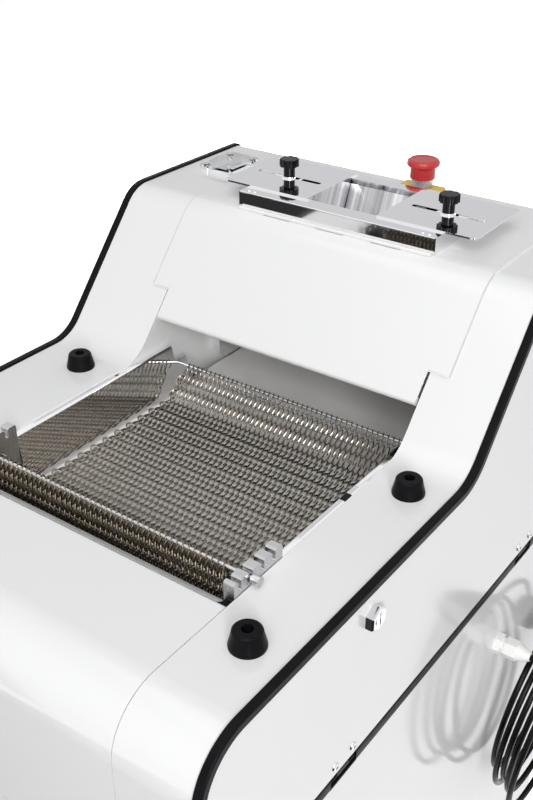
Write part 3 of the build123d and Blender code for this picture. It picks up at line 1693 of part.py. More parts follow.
plug_sleeve_wall = 2.0
plug_sleeve_length = 20.0
plug_sleeve_radius = 10.0
plug_radius = 18.5
plug_length = 30.0
pin_spacing = 19.0
pin_radius = 2.4
pin_length = 19.0
plug_heading = (tail_route[-1] - tail_route[-2]).normalized()
plug_plane = Plane(origin=tail_route[-1], x_dir=(1, 0, 0), z_dir=plug_heading)
with BuildPart() as mains_plug:
    with BuildSketch(plug_plane):
        Circle(cable_radius + plug_sleeve_wall)
    with BuildSketch(plug_plane.offset(plug_sleeve_length)):
        Circle(plug_sleeve_radius)
    loft()
    with BuildSketch(plug_plane.offset(plug_sleeve_length)):
        Circle(plug_radius)
    extrude(amount=plug_length)
    with BuildSketch(plug_plane.offset(plug_sleeve_length + plug_length)):
        with GridLocations(pin_spacing, 0, 2, 1):
            Circle(pin_radius)
    extrude(amount=pin_length)
keep(mains_plug, "mains_plug")
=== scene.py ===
"""Looks of the dough moulder: finishes, wire net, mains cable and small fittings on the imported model."""

import json

import bmesh
import bpy
import numpy as np
from mathutils import Euler, Matrix, Vector


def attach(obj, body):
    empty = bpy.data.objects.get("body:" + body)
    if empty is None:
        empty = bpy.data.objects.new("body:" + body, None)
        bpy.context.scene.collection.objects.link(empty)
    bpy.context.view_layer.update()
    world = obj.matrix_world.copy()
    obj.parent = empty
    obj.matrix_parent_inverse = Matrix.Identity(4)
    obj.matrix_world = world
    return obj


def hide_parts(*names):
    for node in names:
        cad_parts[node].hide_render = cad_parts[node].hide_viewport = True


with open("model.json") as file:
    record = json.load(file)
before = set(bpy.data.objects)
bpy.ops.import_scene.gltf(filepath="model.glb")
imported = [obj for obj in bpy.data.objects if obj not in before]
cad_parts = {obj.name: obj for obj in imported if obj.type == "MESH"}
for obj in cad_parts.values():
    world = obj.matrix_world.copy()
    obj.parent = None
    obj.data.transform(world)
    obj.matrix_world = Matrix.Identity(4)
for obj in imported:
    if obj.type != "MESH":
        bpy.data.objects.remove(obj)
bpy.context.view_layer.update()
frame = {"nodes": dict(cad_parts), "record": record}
scene = bpy.context.scene
mm = 0.001

# Measures of the model in millimetres: depths from the front face, rises from the deck, x from the middle
body_length = 788.0
deck_height = 850.0
hood_rise = 157.0
slope_foot = 430.0
slope_brow = 566.0
brow_bend = 45.0
belt_middle = 16.0
hopper_middle = 12.0
door_face = 282.0
left_and_right = (-1, 1)


def level(depth, rise):
    """Depth from the front face and rise over the deck, as y and z of the frame."""
    return depth - body_length / 2, deck_height + rise


def spots(across, depths, rises):
    """Every place made of one x, one depth from the front face and one rise over the deck."""
    return [(x, *level(depth, rise)) for x in across for depth in depths for rise in rises]


# Camera of the photograph: lens and place in millimetres, angles in degrees

lens_length = 47.71
sensor_width = 36.0
view_tilt = 59.716
view_turn = 36.117
view_roll = -0.166
view_place = (624.2, -779.2, 1450.0)
view_reach_m = 60.0


def set_camera():
    """A pinhole at the solved place: tilted up from straight down, turned about the vertical, then rolled on
    its own axis."""
    lens = bpy.data.cameras.new("photo_camera")
    lens.lens = lens_length
    lens.sensor_width = sensor_width
    lens.clip_end = view_reach_m
    camera = bpy.data.objects.new("photo_camera", lens)
    turn = Euler((np.radians(view_tilt), 0.0, np.radians(view_turn))).to_matrix().to_4x4()
    roll = Matrix.Rotation(np.radians(view_roll), 4, "Z")
    place = Matrix.Translation([value * mm for value in view_place])
    camera.matrix_world = place @ turn @ roll
    scene.collection.objects.link(camera)
    scene.camera = camera


set_camera()

# Finishes: each is a shader with colour, gloss and relief worked out from the place on the object, in metres


class Finish:
    """A material's node tree, with short calls for the nodes that the finishes share."""

    def __init__(self, name):
        self.material = bpy.data.materials.new(name)
        self.material.use_nodes = True
        self.tree = self.material.node_tree
        self.shader = self.tree.nodes["Principled BSDF"]
        self.place = self.node("ShaderNodeTexCoord", {}).outputs["Object"]

    def feed(self, socket, source):
        """Join an output to a socket, or set a value on it."""
        if hasattr(source, "is_output"):
            self.tree.links.new(source, socket)
        else:
            socket.default_value = source

    def node(self, kind, inputs, **settings):
        """One node with its settings; each of its inputs takes an output or a value."""
        node = self.tree.nodes.new(kind)
        for key, value in settings.items():
            setattr(node, key, value)
        for key, source in inputs.items():
            self.feed(node.inputs[key], source)
        return node

    def stretched(self, scale):
        """Place on the object, with each axis drawn out by its own factor."""
        return self.node("ShaderNodeMapping", {"Vector": self.place, "Scale": scale}).outputs["Vector"]

    def axes(self, vector):
        """The parts of a vector, as outputs X, Y and Z."""
        return self.node("ShaderNodeSeparateXYZ", {"Vector": vector}).outputs

    def facing(self):
        """The way that the surface faces, as outputs X, Y and Z."""
        return self.axes(self.node("ShaderNodeNewGeometry", {}).outputs["Normal"])

    def noise(self, scale, detail=3.0, vector=None, rough=0.5):
        """Soft random patches, about as many to a metre as the scale says."""
        inputs = {"Vector": vector or self.place, "Scale": scale, "Detail": detail, "Roughness": rough}
        return self.node("ShaderNodeTexNoise", inputs).outputs["Fac"]

    def bands(self, scale, direction):
        """A sine wave along one axis."""
        inputs = {"Vector": self.place, "Scale": scale}
        settings = {"bands_direction": direction, "wave_profile": "SIN"}
        return self.node("ShaderNodeTexWave", inputs, **settings).outputs["Fac"]

    def sums(self, operation, first, second=0.0):
        """One step of arithmetic."""
        return self.node("ShaderNodeMath", {0: first, 1: second}, operation=operation).outputs[0]

    def shared(self, first, part, second):
        """A part of the first pattern, and the rest of the second."""
        rest = self.sums("MULTIPLY", second, 1 - part)
        return self.sums("ADD", self.sums("MULTIPLY", first, part), rest)

    def spread(self, source, values, start=0.3, end=0.7):
        """A number that goes from the first value to the second as the source goes from start to end."""
        limits = {"From Min": start, "From Max": end, "To Min": values[0], "To Max": values[1]}
        return self.node("ShaderNodeMapRange", {"Value": source, **limits}).outputs["Result"]

    def tone(self, source, tones, start=0.3, end=0.7):
        """A colour that goes from the first tone to the second as the source goes from start to end."""
        ramp = self.node("ShaderNodeValToRGB", {"Fac": source})
        for stop, position, colour in zip(ramp.color_ramp.elements, (start, end), tones):
            stop.position = position
            stop.color = (*colour, 1.0)
        return ramp.outputs["Color"]

    def mix(self, factor, first, second):
        """A colour that goes from the first to the second as the factor goes from 0 to 1."""
        inputs = {"Factor": factor, "A": first, "B": second}
        return self.node("ShaderNodeMix", inputs, data_type="RGBA").outputs["Result"]

    def set(self, **values):
        """Shader inputs by name, underscores for spaces: a number is set, an output is joined."""
        for key, value in values.items():
            self.feed(self.shader.inputs[key.replace("_", " ")], value)
        return self

    def relief(self, height, depth, strength):
        """Bumps of a depth where the height pattern is light."""
        bump = self.node("ShaderNodeBump", {"Height": height, "Distance": depth, "Strength": strength})
        return self.set(Normal=bump.outputs["Normal"])


def powder_coat(name, tones, gloss, shine=0.5):
    """Powder coat: tone and gloss drift over a forearm's length, under the fine ripple of orange peel."""
    coat = Finish(name)
    drift = coat.noise(scale=2.2, detail=1.0)
    wear = coat.noise(scale=3.5, detail=1.0)
    peel = coat.noise(scale=700.0, detail=1.0)
    coat.set(Base_Color=coat.tone(drift, tones, 0.0, 1.0), Specular_IOR_Level=shine)
    coat.set(Roughness=coat.spread(wear, gloss, 0.0, 1.0))
    return coat.relief(peel, depth=0.00002, strength=0.4).material


def moulded(name, tones, gloss, grain, depth, shine=0.5):
    """Moulded rubber or plastic: two close tones in soft patches, uneven gloss and a fine grain."""
    skin = Finish(name)
    patches = skin.noise(scale=60.0, detail=5.0)
    skin.set(Base_Color=skin.tone(patches, tones, 0.2, 0.8), Specular_IOR_Level=shine)
    skin.set(Roughness=skin.spread(skin.noise(scale=140.0), gloss))
    return skin.relief(skin.noise(grain, detail=4.0), depth, strength=0.6).material


def rubbed_tone(metal, tones, stretch, depth):
    """Streaks along the direction that a metal was rubbed, in faint relief; and the tone that they give."""
    streak = metal.noise(scale=1.0, detail=5.0, vector=metal.stretched(stretch), rough=0.6)
    metal.relief(streak, depth, strength=0.4)
    return streak, metal.tone(streak, tones, 0.2, 0.8)


def rubbed_gloss(metal, streak, gloss):
    """Gloss that follows the streaks, with a soft smear over them."""
    return metal.spread(metal.shared(streak, 0.6, metal.noise(scale=14.0)), gloss)


def brushed(name, tones, gloss, stretch, depth):
    """Worked metal, rubbed in one direction."""
    metal = Finish(name)
    streak, tone = rubbed_tone(metal, tones, stretch, depth)
    metal.set(Base_Color=tone, Metallic=1.0, Roughness=rubbed_gloss(metal, streak, gloss))
    return metal.material


def door_metal(name, tones, stretch, depth, door_edge):
    """Polished fittings whose sides that face along the door are darkened as a painted dark reflection, and
    that turn to black enamel below the door's lower edge, where the hinge leaves come out."""
    metal = Finish(name)
    _, tone = rubbed_tone(metal, tones, stretch, depth)
    height = metal.axes(metal.place)["Z"]
    edge = (door_edge, door_edge + 0.0005)
    bright = metal.spread(height, (0.0, 1.0), *edge)
    # Painted dark reflection: sides that face along the door get a darker tone
    along_door = metal.sums("ABSOLUTE", metal.facing()["Y"])
    face = metal.spread(along_door, (1.0, 0.06), 0.55, 0.9)
    enamel = (0.012, 0.012, 0.013, 1.0)
    metal.set(Base_Color=metal.mix(metal.sums("MULTIPLY", bright, face), enamel, tone))
    metal.set(Metallic=bright, Roughness=metal.spread(height, (0.55, 0.06), *edge))
    return metal.material


def chute_metal(name, tones, gloss, stretch, depth, reflection_streak_tones):
    """Polished sheet whose chute, inside the rim and behind the lip, has dark and light streaks painted into
    its colour as painted reflection and shade, running down each wall: they change along y on its sides and
    along x on its front and rear, by which way the wall faces."""
    metal = Finish(name)
    streak, tone = rubbed_tone(metal, tones, stretch, depth)
    axes = metal.axes(metal.place)
    rear = metal.spread(metal.sums("ABSOLUTE", metal.facing()["Y"]), (0.0, 1.0), 0.3, 0.5)
    side_streak = metal.noise(scale=1.0, detail=4.0, vector=metal.stretched((0.0, 48.0, 0.0)), rough=0.6)
    rear_streak = metal.noise(scale=1.0, detail=4.0, vector=metal.stretched((48.0, 0.0, 0.0)), rough=0.6)
    change = metal.sums("MULTIPLY", rear, metal.sums("SUBTRACT", rear_streak, side_streak))
    # Painted reflection and shade: the chute's walls get streaks from a dark to a light tone
    painted_reflection_streaks = metal.tone(metal.sums("ADD", side_streak, change), reflection_streak_tones, 0.38, 0.62)
    across = metal.sums("ABSOLUTE", metal.sums("SUBTRACT", axes["X"], hopper_middle * mm))
    within_rim = metal.spread(across, (1.0, 0.0), 0.126, 0.128)
    behind_lip = metal.spread(axes["Y"], (0.0, 1.0), 0.192, 0.194)
    below_rim = metal.spread(axes["Z"], (1.0, 0.0), 1.0255, 1.0265)
    chute = metal.sums("MULTIPLY", metal.sums("MULTIPLY", within_rim, behind_lip), below_rim)
    metal.set(Base_Color=metal.mix(chute, tone, painted_reflection_streaks), Metallic=1.0)
    metal.set(Roughness=rubbed_gloss(metal, streak, gloss))
    return metal.material


def turned(name, tones, gloss):
    """Turned alloy: fine lathe rings along the shaft over a soft clouding."""
    metal = Finish(name)
    rings = metal.bands(160.0, "X")
    cloud = metal.noise(scale=30.0, detail=4.0)
    metal.set(Base_Color=metal.tone(cloud, tones), Metallic=1.0)
    metal.set(Roughness=metal.spread(metal.noise(scale=50.0), gloss))
    return metal.relief(rings, depth=0.00004, strength=0.5).material


def cast(name, tones, gloss):
    """Painted casting: blotched colour and the pebbled skin of the mould."""
    skin = Finish(name)
    pebble = skin.noise(scale=260.0, detail=5.0, rough=0.65)
    skin.set(Base_Color=skin.tone(skin.noise(scale=35.0, detail=5.0), tones))
    skin.set(Roughness=skin.spread(pebble, gloss))
    return skin.relief(pebble, depth=0.0003, strength=0.6).material


def woven_belt(name, tones, gloss):
    """Woven belt: warp and weft waves crossed at 1.3 mm, with painted shade in the hollows, and a faint
    flour bloom.
    """
    web = Finish(name)
    weave = web.sums("MULTIPLY", web.bands(240.0, "X"), web.bands(240.0, "Y"))
    bloom = web.noise(scale=22.0, detail=4.0)
    # Painted shade: the tone is darker where the weave is low, in its hollows
    web.set(Base_Color=web.tone(web.shared(weave, 0.8, bloom), tones, 0.06, 0.26))
    web.set(Roughness=web.spread(bloom, gloss))
    return web.relief(weave, depth=0.0003, strength=0.5).material


def clear_sheet(name, tones, gloss, bending):
    """Clear acrylic with a light grey tint and a gloss that fine wiping marks disturb."""
    sheet = Finish(name)
    wipes = sheet.noise(scale=1.0, detail=4.0, vector=sheet.stretched((40.0, 240.0, 40.0)))
    sheet.set(Base_Color=sheet.tone(wipes, tones), Transmission_Weight=1.0, IOR=bending)
    return sheet.set(Roughness=sheet.spread(wipes, gloss)).material


black_tones = ((0.004, 0.004, 0.005), (0.008, 0.008, 0.009))
polish_tones = ((0.87, 0.865, 0.875), (0.91, 0.905, 0.915))
polish_gloss = (0.025, 0.06)
polish_stretch = (40.0, 180.0, 180.0)
polish_depth = 0.000001
wire_stretch = (160.0, 160.0, 160.0)
wire_depth = 0.00003
chute_reflection_tones = ((0.20, 0.20, 0.22), (0.86, 0.865, 0.88))
fitting_tones = ((0.66, 0.655, 0.67), (0.72, 0.715, 0.73))
skirt_painted_light_tones = ((0.08, 0.066, 0.05), (0.30, 0.255, 0.198))
skirt_gloss = (0.30, 0.44)
door_lower_edge = 0.668

# Each finish: its maker, its two tones, the two ends of its gloss, then the rest in its maker's order
finish_table = {
    "white_paint": (powder_coat, ((0.81, 0.812, 0.815), (0.835, 0.836, 0.836)), (0.09, 0.14)),
    "grey_paint": (powder_coat, ((0.56, 0.57, 0.58), (0.62, 0.63, 0.64)), (0.35, 0.5)),
    "black_paint": (powder_coat, black_tones, (0.5, 0.6), 0.06),
    "black_rubber": (moulded, black_tones, (0.28, 0.4), 900.0, 0.00004, 0.06),
    "black_plastic": (
        moulded, ((0.003, 0.003, 0.004), (0.006, 0.006, 0.007)), (0.12, 0.22), 1200.0, 0.00002, 0.14
    ),
    "polished_steel": (brushed, polish_tones, polish_gloss, polish_stretch, polish_depth),
    "satin_steel": (
        brushed, ((0.50, 0.50, 0.51), (0.62, 0.62, 0.63)), (0.24, 0.38), (40.0, 600.0, 600.0), 0.00003
    ),
    "net_steel": (
        brushed, ((0.08, 0.07, 0.057), (0.34, 0.30, 0.247)), (0.14, 0.26), wire_stretch, wire_depth
    ),
    "cast_grey": (cast, ((0.20, 0.21, 0.22), (0.28, 0.29, 0.30)), (0.45, 0.65)),
    "drum_alloy": (turned, ((0.58, 0.58, 0.59), (0.68, 0.68, 0.69)), (0.24, 0.36)),
    "motor_grey": (cast, ((0.17, 0.19, 0.21), (0.23, 0.25, 0.27)), (0.35, 0.5)),
    "white_polymer": (moulded, ((0.76, 0.76, 0.73), (0.83, 0.83, 0.81)), (0.35, 0.5), 500.0, 0.00008),
    "belt_web": (woven_belt, ((0.70, 0.68, 0.65), (0.95, 0.94, 0.92)), (0.55, 0.75)),
    "clear_acrylic": (clear_sheet, ((0.72, 0.735, 0.74), (0.78, 0.79, 0.795)), (0.02, 0.08), 1.12),
    "stop_yellow": (moulded, ((0.70, 0.50, 0.03), (0.78, 0.58, 0.05)), (0.3, 0.42), 800.0, 0.00004),
    "stop_red": (moulded, ((0.47, 0.021, 0.023), (0.54, 0.03, 0.03)), (0.22, 0.34), 800.0, 0.00003),
    "white_plastic": (moulded, ((0.78, 0.78, 0.77), (0.85, 0.85, 0.84)), (0.3, 0.42), 700.0, 0.00005),
    "cable_grey": (
        moulded, ((0.002, 0.002, 0.002), (0.005, 0.005, 0.005)), (0.2, 0.3), 700.0, 0.00004, 0.12
    ),
}
finishes = {name: make(name, *values) for name, (make, *values) in finish_table.items()}
fitting_metal = door_metal(
    "door_fitting_metal", fitting_tones, polish_stretch, polish_depth, door_lower_edge
)
hopper_metal = chute_metal(
    "hopper_metal", polish_tones, polish_gloss, polish_stretch, polish_depth, chute_reflection_tones
)
# Painted light and shade: the net's skirt rows and front rod loops get their own darker, browner copy of the
# net's steel
skirt_painted_light_metal = brushed("skirt_painted_light_metal", skirt_painted_light_tones, skirt_gloss, wire_stretch, wire_depth)
own_finishes = {
    "left_door_fittings": fitting_metal,
    "right_door_fittings": fitting_metal,
    "hopper": hopper_metal,
}

for part in frame["record"]["subparts"]:
    node = frame["nodes"][part["node"]]
    finish = own_finishes.get(part["node"], finishes[part["material_slot"]])
    for holder in node.material_slots:
        holder.material = finish

# Surfaces: points on a grid, in millimetres

merge_distance_m = 1e-7
sharp_angle = 35.0


def grid_faces(rows, columns, round_rows):
    """Four-cornered faces between neighbours on a grid. The last column joins the first, and so does the
    last row where the rows go round too."""
    down = np.arange(rows if round_rows else rows - 1)
    i, j = np.meshgrid(down, np.arange(columns), indexing="ij")
    below, beside = (i + 1) % rows, (j + 1) % columns
    corners = [i * columns + j, below * columns + j, below * columns + beside, i * columns + beside]
    return np.stack(corners, axis=-1).reshape(-1, 4)


def piece(name, grids, body, slot, finish=None, round_rows=False):
    """One object from a stack of grids (count, rows, columns, xyz): equal points are merged, so poles and
    seams close. Its finish is its slot's, unless it has its own."""
    count, rows, columns, _ = grids.shape
    first_points = np.arange(count) * rows * columns
    faces = (grid_faces(rows, columns, round_rows)[None] + first_points[:, None, None]).reshape(-1, 4)
    mesh = bpy.data.meshes.new(name)
    mesh.vertices.add(count * rows * columns)
    mesh.vertices.foreach_set("co", (grids * mm).ravel())
    mesh.loops.add(faces.size)
    mesh.loops.foreach_set("vertex_index", faces.ravel())
    mesh.polygons.add(len(faces))
    mesh.polygons.foreach_set("loop_start", np.arange(len(faces)) * 4)
    mesh.update(calc_edges=True)
    work = bmesh.new()
    work.from_mesh(mesh)
    bmesh.ops.remove_doubles(work, verts=work.verts, dist=merge_distance_m)
    bmesh.ops.recalc_face_normals(work, faces=work.faces)
    work.to_mesh(mesh)
    work.free()
    mesh.polygons.foreach_set("use_smooth", np.ones(len(mesh.polygons), dtype=bool))
    mesh.set_sharp_from_angle(angle=np.radians(sharp_angle))
    mesh.materials.append(finish or finishes[slot])
    made = bpy.data.objects.new(name, mesh)
    scene.collection.objects.link(made)
    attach(made, body)
    return made


def full_turn(steps):
    """Equal angles once round."""
    return np.linspace(0, 2 * np.pi, steps, endpoint=False)


def round_stack(radii, heights, places, steps, axis="Z"):
    """Turned pieces: the profile of radius over height goes once round an axis through each place."""
    angle = full_turn(steps)
    radius = np.asarray(radii, float)[:, None]
    across = radius * np.cos(angle)
    over = radius * np.sin(angle)
    along = np.broadcast_to(np.asarray(heights, float)[:, None], across.shape)
    order = {"Z": (across, over, along), "X": (along, across, over), "Y": (over, along, across)}[axis]
    return np.stack(order, axis=-1)[None] + np.asarray(places, float)[:, None, None, :]


def squared(wave, power):
    """A cosine or sine, raised to a power below one with its sign kept, so an oval fills its corners."""
    return np.sign(wave) * np.abs(wave) ** power


slab_bevel = 0.3
slab_steps = 48


def slabs(half_width, half_length, low, high, places):
    """Slabs with soft corners: each ring is a superellipse of the eighth power, and rings go from the middle
    of the underside out and up the side, in by the bevel at the top, and back to the middle."""
    angle = full_turn(slab_steps)
    size = np.array([0, 1, 1, 1, 0])[:, None]
    inset = np.array([0, 0, 0, slab_bevel, 0])[:, None]
    wide = (half_width * size - inset) * squared(np.cos(angle), 0.25)
    long = (half_length * size - inset) * squared(np.sin(angle), 0.25)
    tall = np.array([low, low, high - slab_bevel, high, high])[:, None] + 0 * angle
    return np.stack([wide, long, tall], axis=-1)[None] + np.asarray(places, float)[:, None, None, :]


def wires(paths, ups, radius, sides):
    """Round wires along paths (count, points, xyz): each ring stands square to its path, turned to its up
    direction. The ring's radius falls to nothing at both ends, which closes them."""
    ahead = np.gradient(paths, axis=1)
    ahead /= np.linalg.norm(ahead, axis=-1, keepdims=True)
    first = ups - (ups * ahead).sum(-1, keepdims=True) * ahead
    first /= np.linalg.norm(first, axis=-1, keepdims=True)
    second = np.cross(ahead, first)
    index = np.concatenate([[0], np.arange(paths.shape[1]), [paths.shape[1] - 1]])
    size = np.full(len(index), radius)
    size[[0, -1]] = 0.0
    angle = full_turn(sides)[:, None]
    turn = first[:, index, None] * np.cos(angle) + second[:, index, None] * np.sin(angle)
    return paths[:, index, None] + size[:, None, None] * turn


# Mains cable: out of its gland, round the hanging turns and down to the plug

cable_diameter = 7.5
gland_tip = np.array([326.0, 162.0, 547.0])
gland_heading = np.array([1.0, 0.0, 0.0])
lead_steps = 5
lead_run = 13.2
coil_turns = 5
turn_points = 16
coil_pitch = 10.5
coil_lean = 26.0
coil_half_width = 100.0
coil_half_height = 115.0
coil_first_swing = -11.0
coil_swing_step = 3.6
coil_size_change = 0.05
coil_size_beat = 2.1
heading_step = 1e-4
# Each point of the tail: how far on along the coil's last direction, and how far off that line
tail_points = [
    (0, (0, 0, 0)),
    (24, (0, 0, 0)),
    (58, (-2, 0, -8)),
    (94, (-3, 0, -26)),
    (122, (-3, 0, -54)),
    (132, (-3, 0, -88)),
]
tie_inside = 4.3
tie_outside = 5.3
tie_half_width = 4.0
tie_sink = 0.6
tie_steps = 48


def coil_shape(turn):
    """Loose hanging turns from their start: each swings a little further round and differs in size, steps
    towards the panel, and leans on it lower down by half the lean times one less the cosine."""
    angle = 2 * np.pi * turn
    swing = np.radians(coil_first_swing + coil_swing_step * turn)
    size = 1 + coil_size_change * np.sin(coil_size_beat * turn)
    across = coil_half_width * size * np.sin(angle)
    down = coil_half_height * size * (1 - np.cos(angle))
    x = -coil_pitch * turn - coil_lean * (1 - np.cos(angle)) / 2
    y = across * np.cos(swing) + down * np.sin(swing)
    z = across * np.sin(swing) - down * np.cos(swing)
    return np.stack([x, y, z], axis=-1)


def coil_heading(turn):
    """Unit direction of the coil's line, from two close points on it."""
    step = coil_shape(np.array(turn + heading_step)) - coil_shape(np.array(turn - heading_step))
    return step / np.linalg.norm(step)


def turned_headings(first, second, steps):
    """Directions at equal steps of angle from one direction to another."""
    whole = np.arccos(first @ second)
    share = np.linspace(0, 1, steps + 1)[:, None]
    return (first * np.sin((1 - share) * whole) + second * np.sin(share * whole)) / np.sin(whole)


def mains_cable():
    """One smooth line: the lead's points, sixteen points to each turn, then the tail's points. It gives back
    the place where the turns start."""
    into, out = coil_heading(0.0), coil_heading(float(coil_turns))
    runs = lead_run * turned_headings(gland_heading, into, lead_steps)
    lead = np.vstack([gland_tip, gland_tip + np.cumsum(runs, axis=0)])
    coil_start = lead[-1] + into * cable_diameter
    turns = coil_start + coil_shape(np.linspace(0, coil_turns, turn_points * coil_turns + 1))
    coil_end = turns[-1] + out * cable_diameter
    tail = [coil_end + run * out + aside for run, aside in tail_points]
    route = np.vstack([lead, turns, tail]) * mm
    curve = bpy.data.curves.new("mains_cable", "CURVE")
    curve.dimensions = "3D"
    curve.bevel_depth = cable_diameter / 2 * mm
    curve.bevel_resolution = 4
    curve.resolution_u = 5
    curve.use_fill_caps = True
    spline = curve.splines.new("NURBS")
    spline.points.add(len(route) - 1)
    spline.points.foreach_set("co", np.hstack([route, np.ones((len(route), 1))]).ravel())
    spline.order_u = 3
    spline.use_endpoint_u = True
    curve.materials.append(finishes["cable_grey"])
    cable = bpy.data.objects.new("mains_cable", curve)
    scene.collection.objects.link(cable)
    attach(cable, "machine")
    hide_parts("cable_lead", "cable_coil", "cable_tail")
    return coil_start


def cable_tie(top):
    """A flat strap round the turns where they hang side by side: an oblong section goes round a long loop,
    whose two half circles stand as far apart as the outer turns."""
    angle = full_turn(tie_steps)[:, None]
    reach = np.array([tie_inside, tie_inside, tie_outside, tie_outside])
    side = tie_half_width * np.array([-1, 1, 1, -1])
    spread = coil_pitch * coil_turns / 2
    x = top[0] - spread + spread * np.sign(np.cos(angle)) + reach * np.cos(angle)
    y = top[1] + side + 0 * x
    z = top[2] - tie_sink + reach * np.sin(angle)
    strap = np.stack([x, y, z], axis=-1)[None]
    return piece("cable_tie", strap, "machine", "black_plastic", round_rows=True)


cable_tie(mains_cable())

# Curling net: linked spiral rows that hang from the rear rod, lie over the belt and go over the front rod

net_points = [
    (486.8, -26.6),
    (451.0, -58.4),
    (222.0, -58.4),
    (186.3, 11.0),
    (178.0, 11.0),
    (167.0, -48.0),
    (157.5, -80.0),
    (153.3, -108.0),
    (156.5, -130.0),
]
net_bends = [14.0, 14.0, 3.0, 3.0, 20.0, 20.0, 20.0]
bend_steps = 14
net_half = 152.0
net_lift = 1.5
net_glance = 2.0
row_pitch = 10.1
first_row = 12.0
last_row_before_rod = 14.0
loop_pitch = 6.75
loop_reach = 6.4
loop_height = 2.0
loop_points = 10
wire_radius = 0.82
wire_sides = 5
net_turns = int(2 * net_half / loop_pitch)

# Between the fold and the front rod the rows hang under the line of the net
fold_depth = net_points[2][0]
fold_margin = 12.0
sunk_lift = -2.4

# The skirt before the front rod has closer rows and a second layer of thicker wire behind them
skirt_pitch = 6.0
skirt_reach = 4.6
skirt_start = 9.5
skirt_margin = 6.0
lining_sink = 4.2
lining_radius = 1.3

hook_sweep = 0.8 * np.pi
hook_points = 19
hook_reach = 5.8
hook_rise = 1.4
hook_inset = 3.0
hook_width = 5.0
hook_radius = 1.1
hook_sides = 6

rod_top_middle = 182.0
rod_top_half = 6.0
rod_top_rise = 5.0
rod_loop = 2.9
rod_loop_points = 12
rod_loop_sides = 6
rod_loop_twist = 0.2


def rounded_route(points, bends):
    """Straight runs joined by arcs: an arc touches both runs at bend times the tangent of half the turn from
    its corner."""
    points = np.asarray(points, float)
    before, corner, after = points[:-2], points[1:-1], points[2:]
    back = (before - corner) / np.linalg.norm(before - corner, axis=1, keepdims=True)
    on = (after - corner) / np.linalg.norm(after - corner, axis=1, keepdims=True)
    half = np.arccos(np.clip((back * on).sum(1), -1, 1))[:, None] / 2
    bend = np.asarray(bends, float)[:, None]
    inwards = (back + on) / np.linalg.norm(back + on, axis=1, keepdims=True)
    middle = corner + inwards * bend / np.sin(half)
    start = (corner + back * bend / np.tan(half) - middle)[:, None]
    end = (corner + on * bend / np.tan(half) - middle)[:, None]
    share = np.linspace(0, 1, bend_steps)[None, :, None]
    sweep = (np.pi - 2 * half)[:, None]
    arcs = (np.sin((1 - share) * sweep) * start + np.sin(share * sweep) * end) / np.sin(sweep)
    arcs = (arcs + middle[:, None]).reshape(-1, 2)
    return np.vstack([points[:1], arcs, points[-1:]])


net_route = rounded_route(net_points, net_bends)
net_run = np.concatenate([[0], np.cumsum(np.linalg.norm(np.diff(net_route, axis=0), axis=1))])


def on_net(run, lift):
    """Point of the net at a run along its route and a lift square to it, as y and z; and the direction of
    the lift."""
    def spot(where):
        """Depth and rise of the route at a run."""
        depth = np.interp(where, net_run, net_route[:, 0])
        rise = np.interp(where, net_run, net_route[:, 1])
        return np.stack([depth, rise], -1)

    ahead = spot(run + net_glance) - spot(run - net_glance)
    ahead /= np.linalg.norm(ahead, axis=-1, keepdims=True)
    square = np.stack([ahead[..., 1], -ahead[..., 0]], -1)
    place = spot(run) + lift[..., None] * square
    return np.stack(level(place[..., 0], place[..., 1]), -1), square


def net_wires(name, side, run, lift, radius, sides, finish=None):
    """Wires on the net: each point is a run along its route, a lift square to it and a way to the side."""
    place, square = on_net(run, np.broadcast_to(lift, run.shape))
    paths = np.concatenate([(belt_middle + side)[..., None], place], -1)
    ups = np.concatenate([np.zeros(run.shape + (1,)), square], -1)
    return piece(name, wires(paths, ups, radius, sides), "machine", "net_steel", finish)


def net_rows(name, runs, reach=loop_reach, base=net_lift, radius=wire_radius, finish=None):
    """Spiral rows: a point goes round a flat oval, reach along the net and height square to it, while it
    steps across; every second row is wound the other way."""
    hands = np.where(np.arange(len(runs)) % 2, -1.0, 1.0)[:, None]
    angle = np.linspace(0, 2 * np.pi * net_turns, loop_points * net_turns + 1)
    side = hands * (angle / (2 * np.pi) * loop_pitch - net_turns * loop_pitch / 2)
    run = runs[:, None] + reach * np.cos(angle)
    lift = np.reshape(base, (-1, 1)) + loop_height * np.sin(angle)
    return net_wires(name, side, run, lift, radius, wire_sides, finish)


def net_hooks(name, runs):
    """Closed ends: at each edge every second pair of rows is joined by a hook, an arc of 0.8 of a turn. It
    goes as a sine along the net and as a cosine out past the edge, and rises by that cosine's square."""
    angle = np.linspace(-hook_sweep, hook_sweep, hook_points)
    left, right = runs[0:-1:2], runs[1:-1:2]
    hand = np.concatenate([-np.ones(len(left)), np.ones(len(right))])[:, None]
    run = (np.concatenate([left, right]) + row_pitch / 2)[:, None] + hook_reach * np.sin(angle)
    lift = net_lift + hook_rise * np.cos(angle) ** 2
    side = hand * (net_half - hook_inset + hook_width * np.cos(angle))
    return net_wires(name, side, run, lift, hook_radius, hook_sides)


def rod_row(name, depth, rise, hang, radius, finish=None):
    """A spiral of loops that hang on a rod: a point goes round an oval while it steps across. The oval is
    twice the rod's loop wide, and longer by the hang, which goes from the rod towards the rows it holds."""
    angle = np.linspace(0, 2 * np.pi * net_turns, rod_loop_points * net_turns + 1)
    y, z = level(depth, rise)
    side = belt_middle + angle / (2 * np.pi) * loop_pitch - net_turns * loop_pitch / 2
    half_hang = np.linalg.norm(hang) / 2
    y_down, z_down = np.array(hang) / np.linalg.norm(hang)
    along = (rod_loop + half_hang) * np.cos(angle) + half_hang
    over = rod_loop * np.sin(angle)
    path = np.stack([side, y + along * y_down - over * z_down, z + along * z_down + over * y_down], -1)
    twist = np.full_like(angle, rod_loop_twist)
    ups = np.stack([twist, -z_down * np.sin(angle), y_down * np.sin(angle)], -1)
    loops = wires(path[None], ups[None], radius, rod_loop_sides)
    return piece(name, loops, "machine", "net_steel", finish)


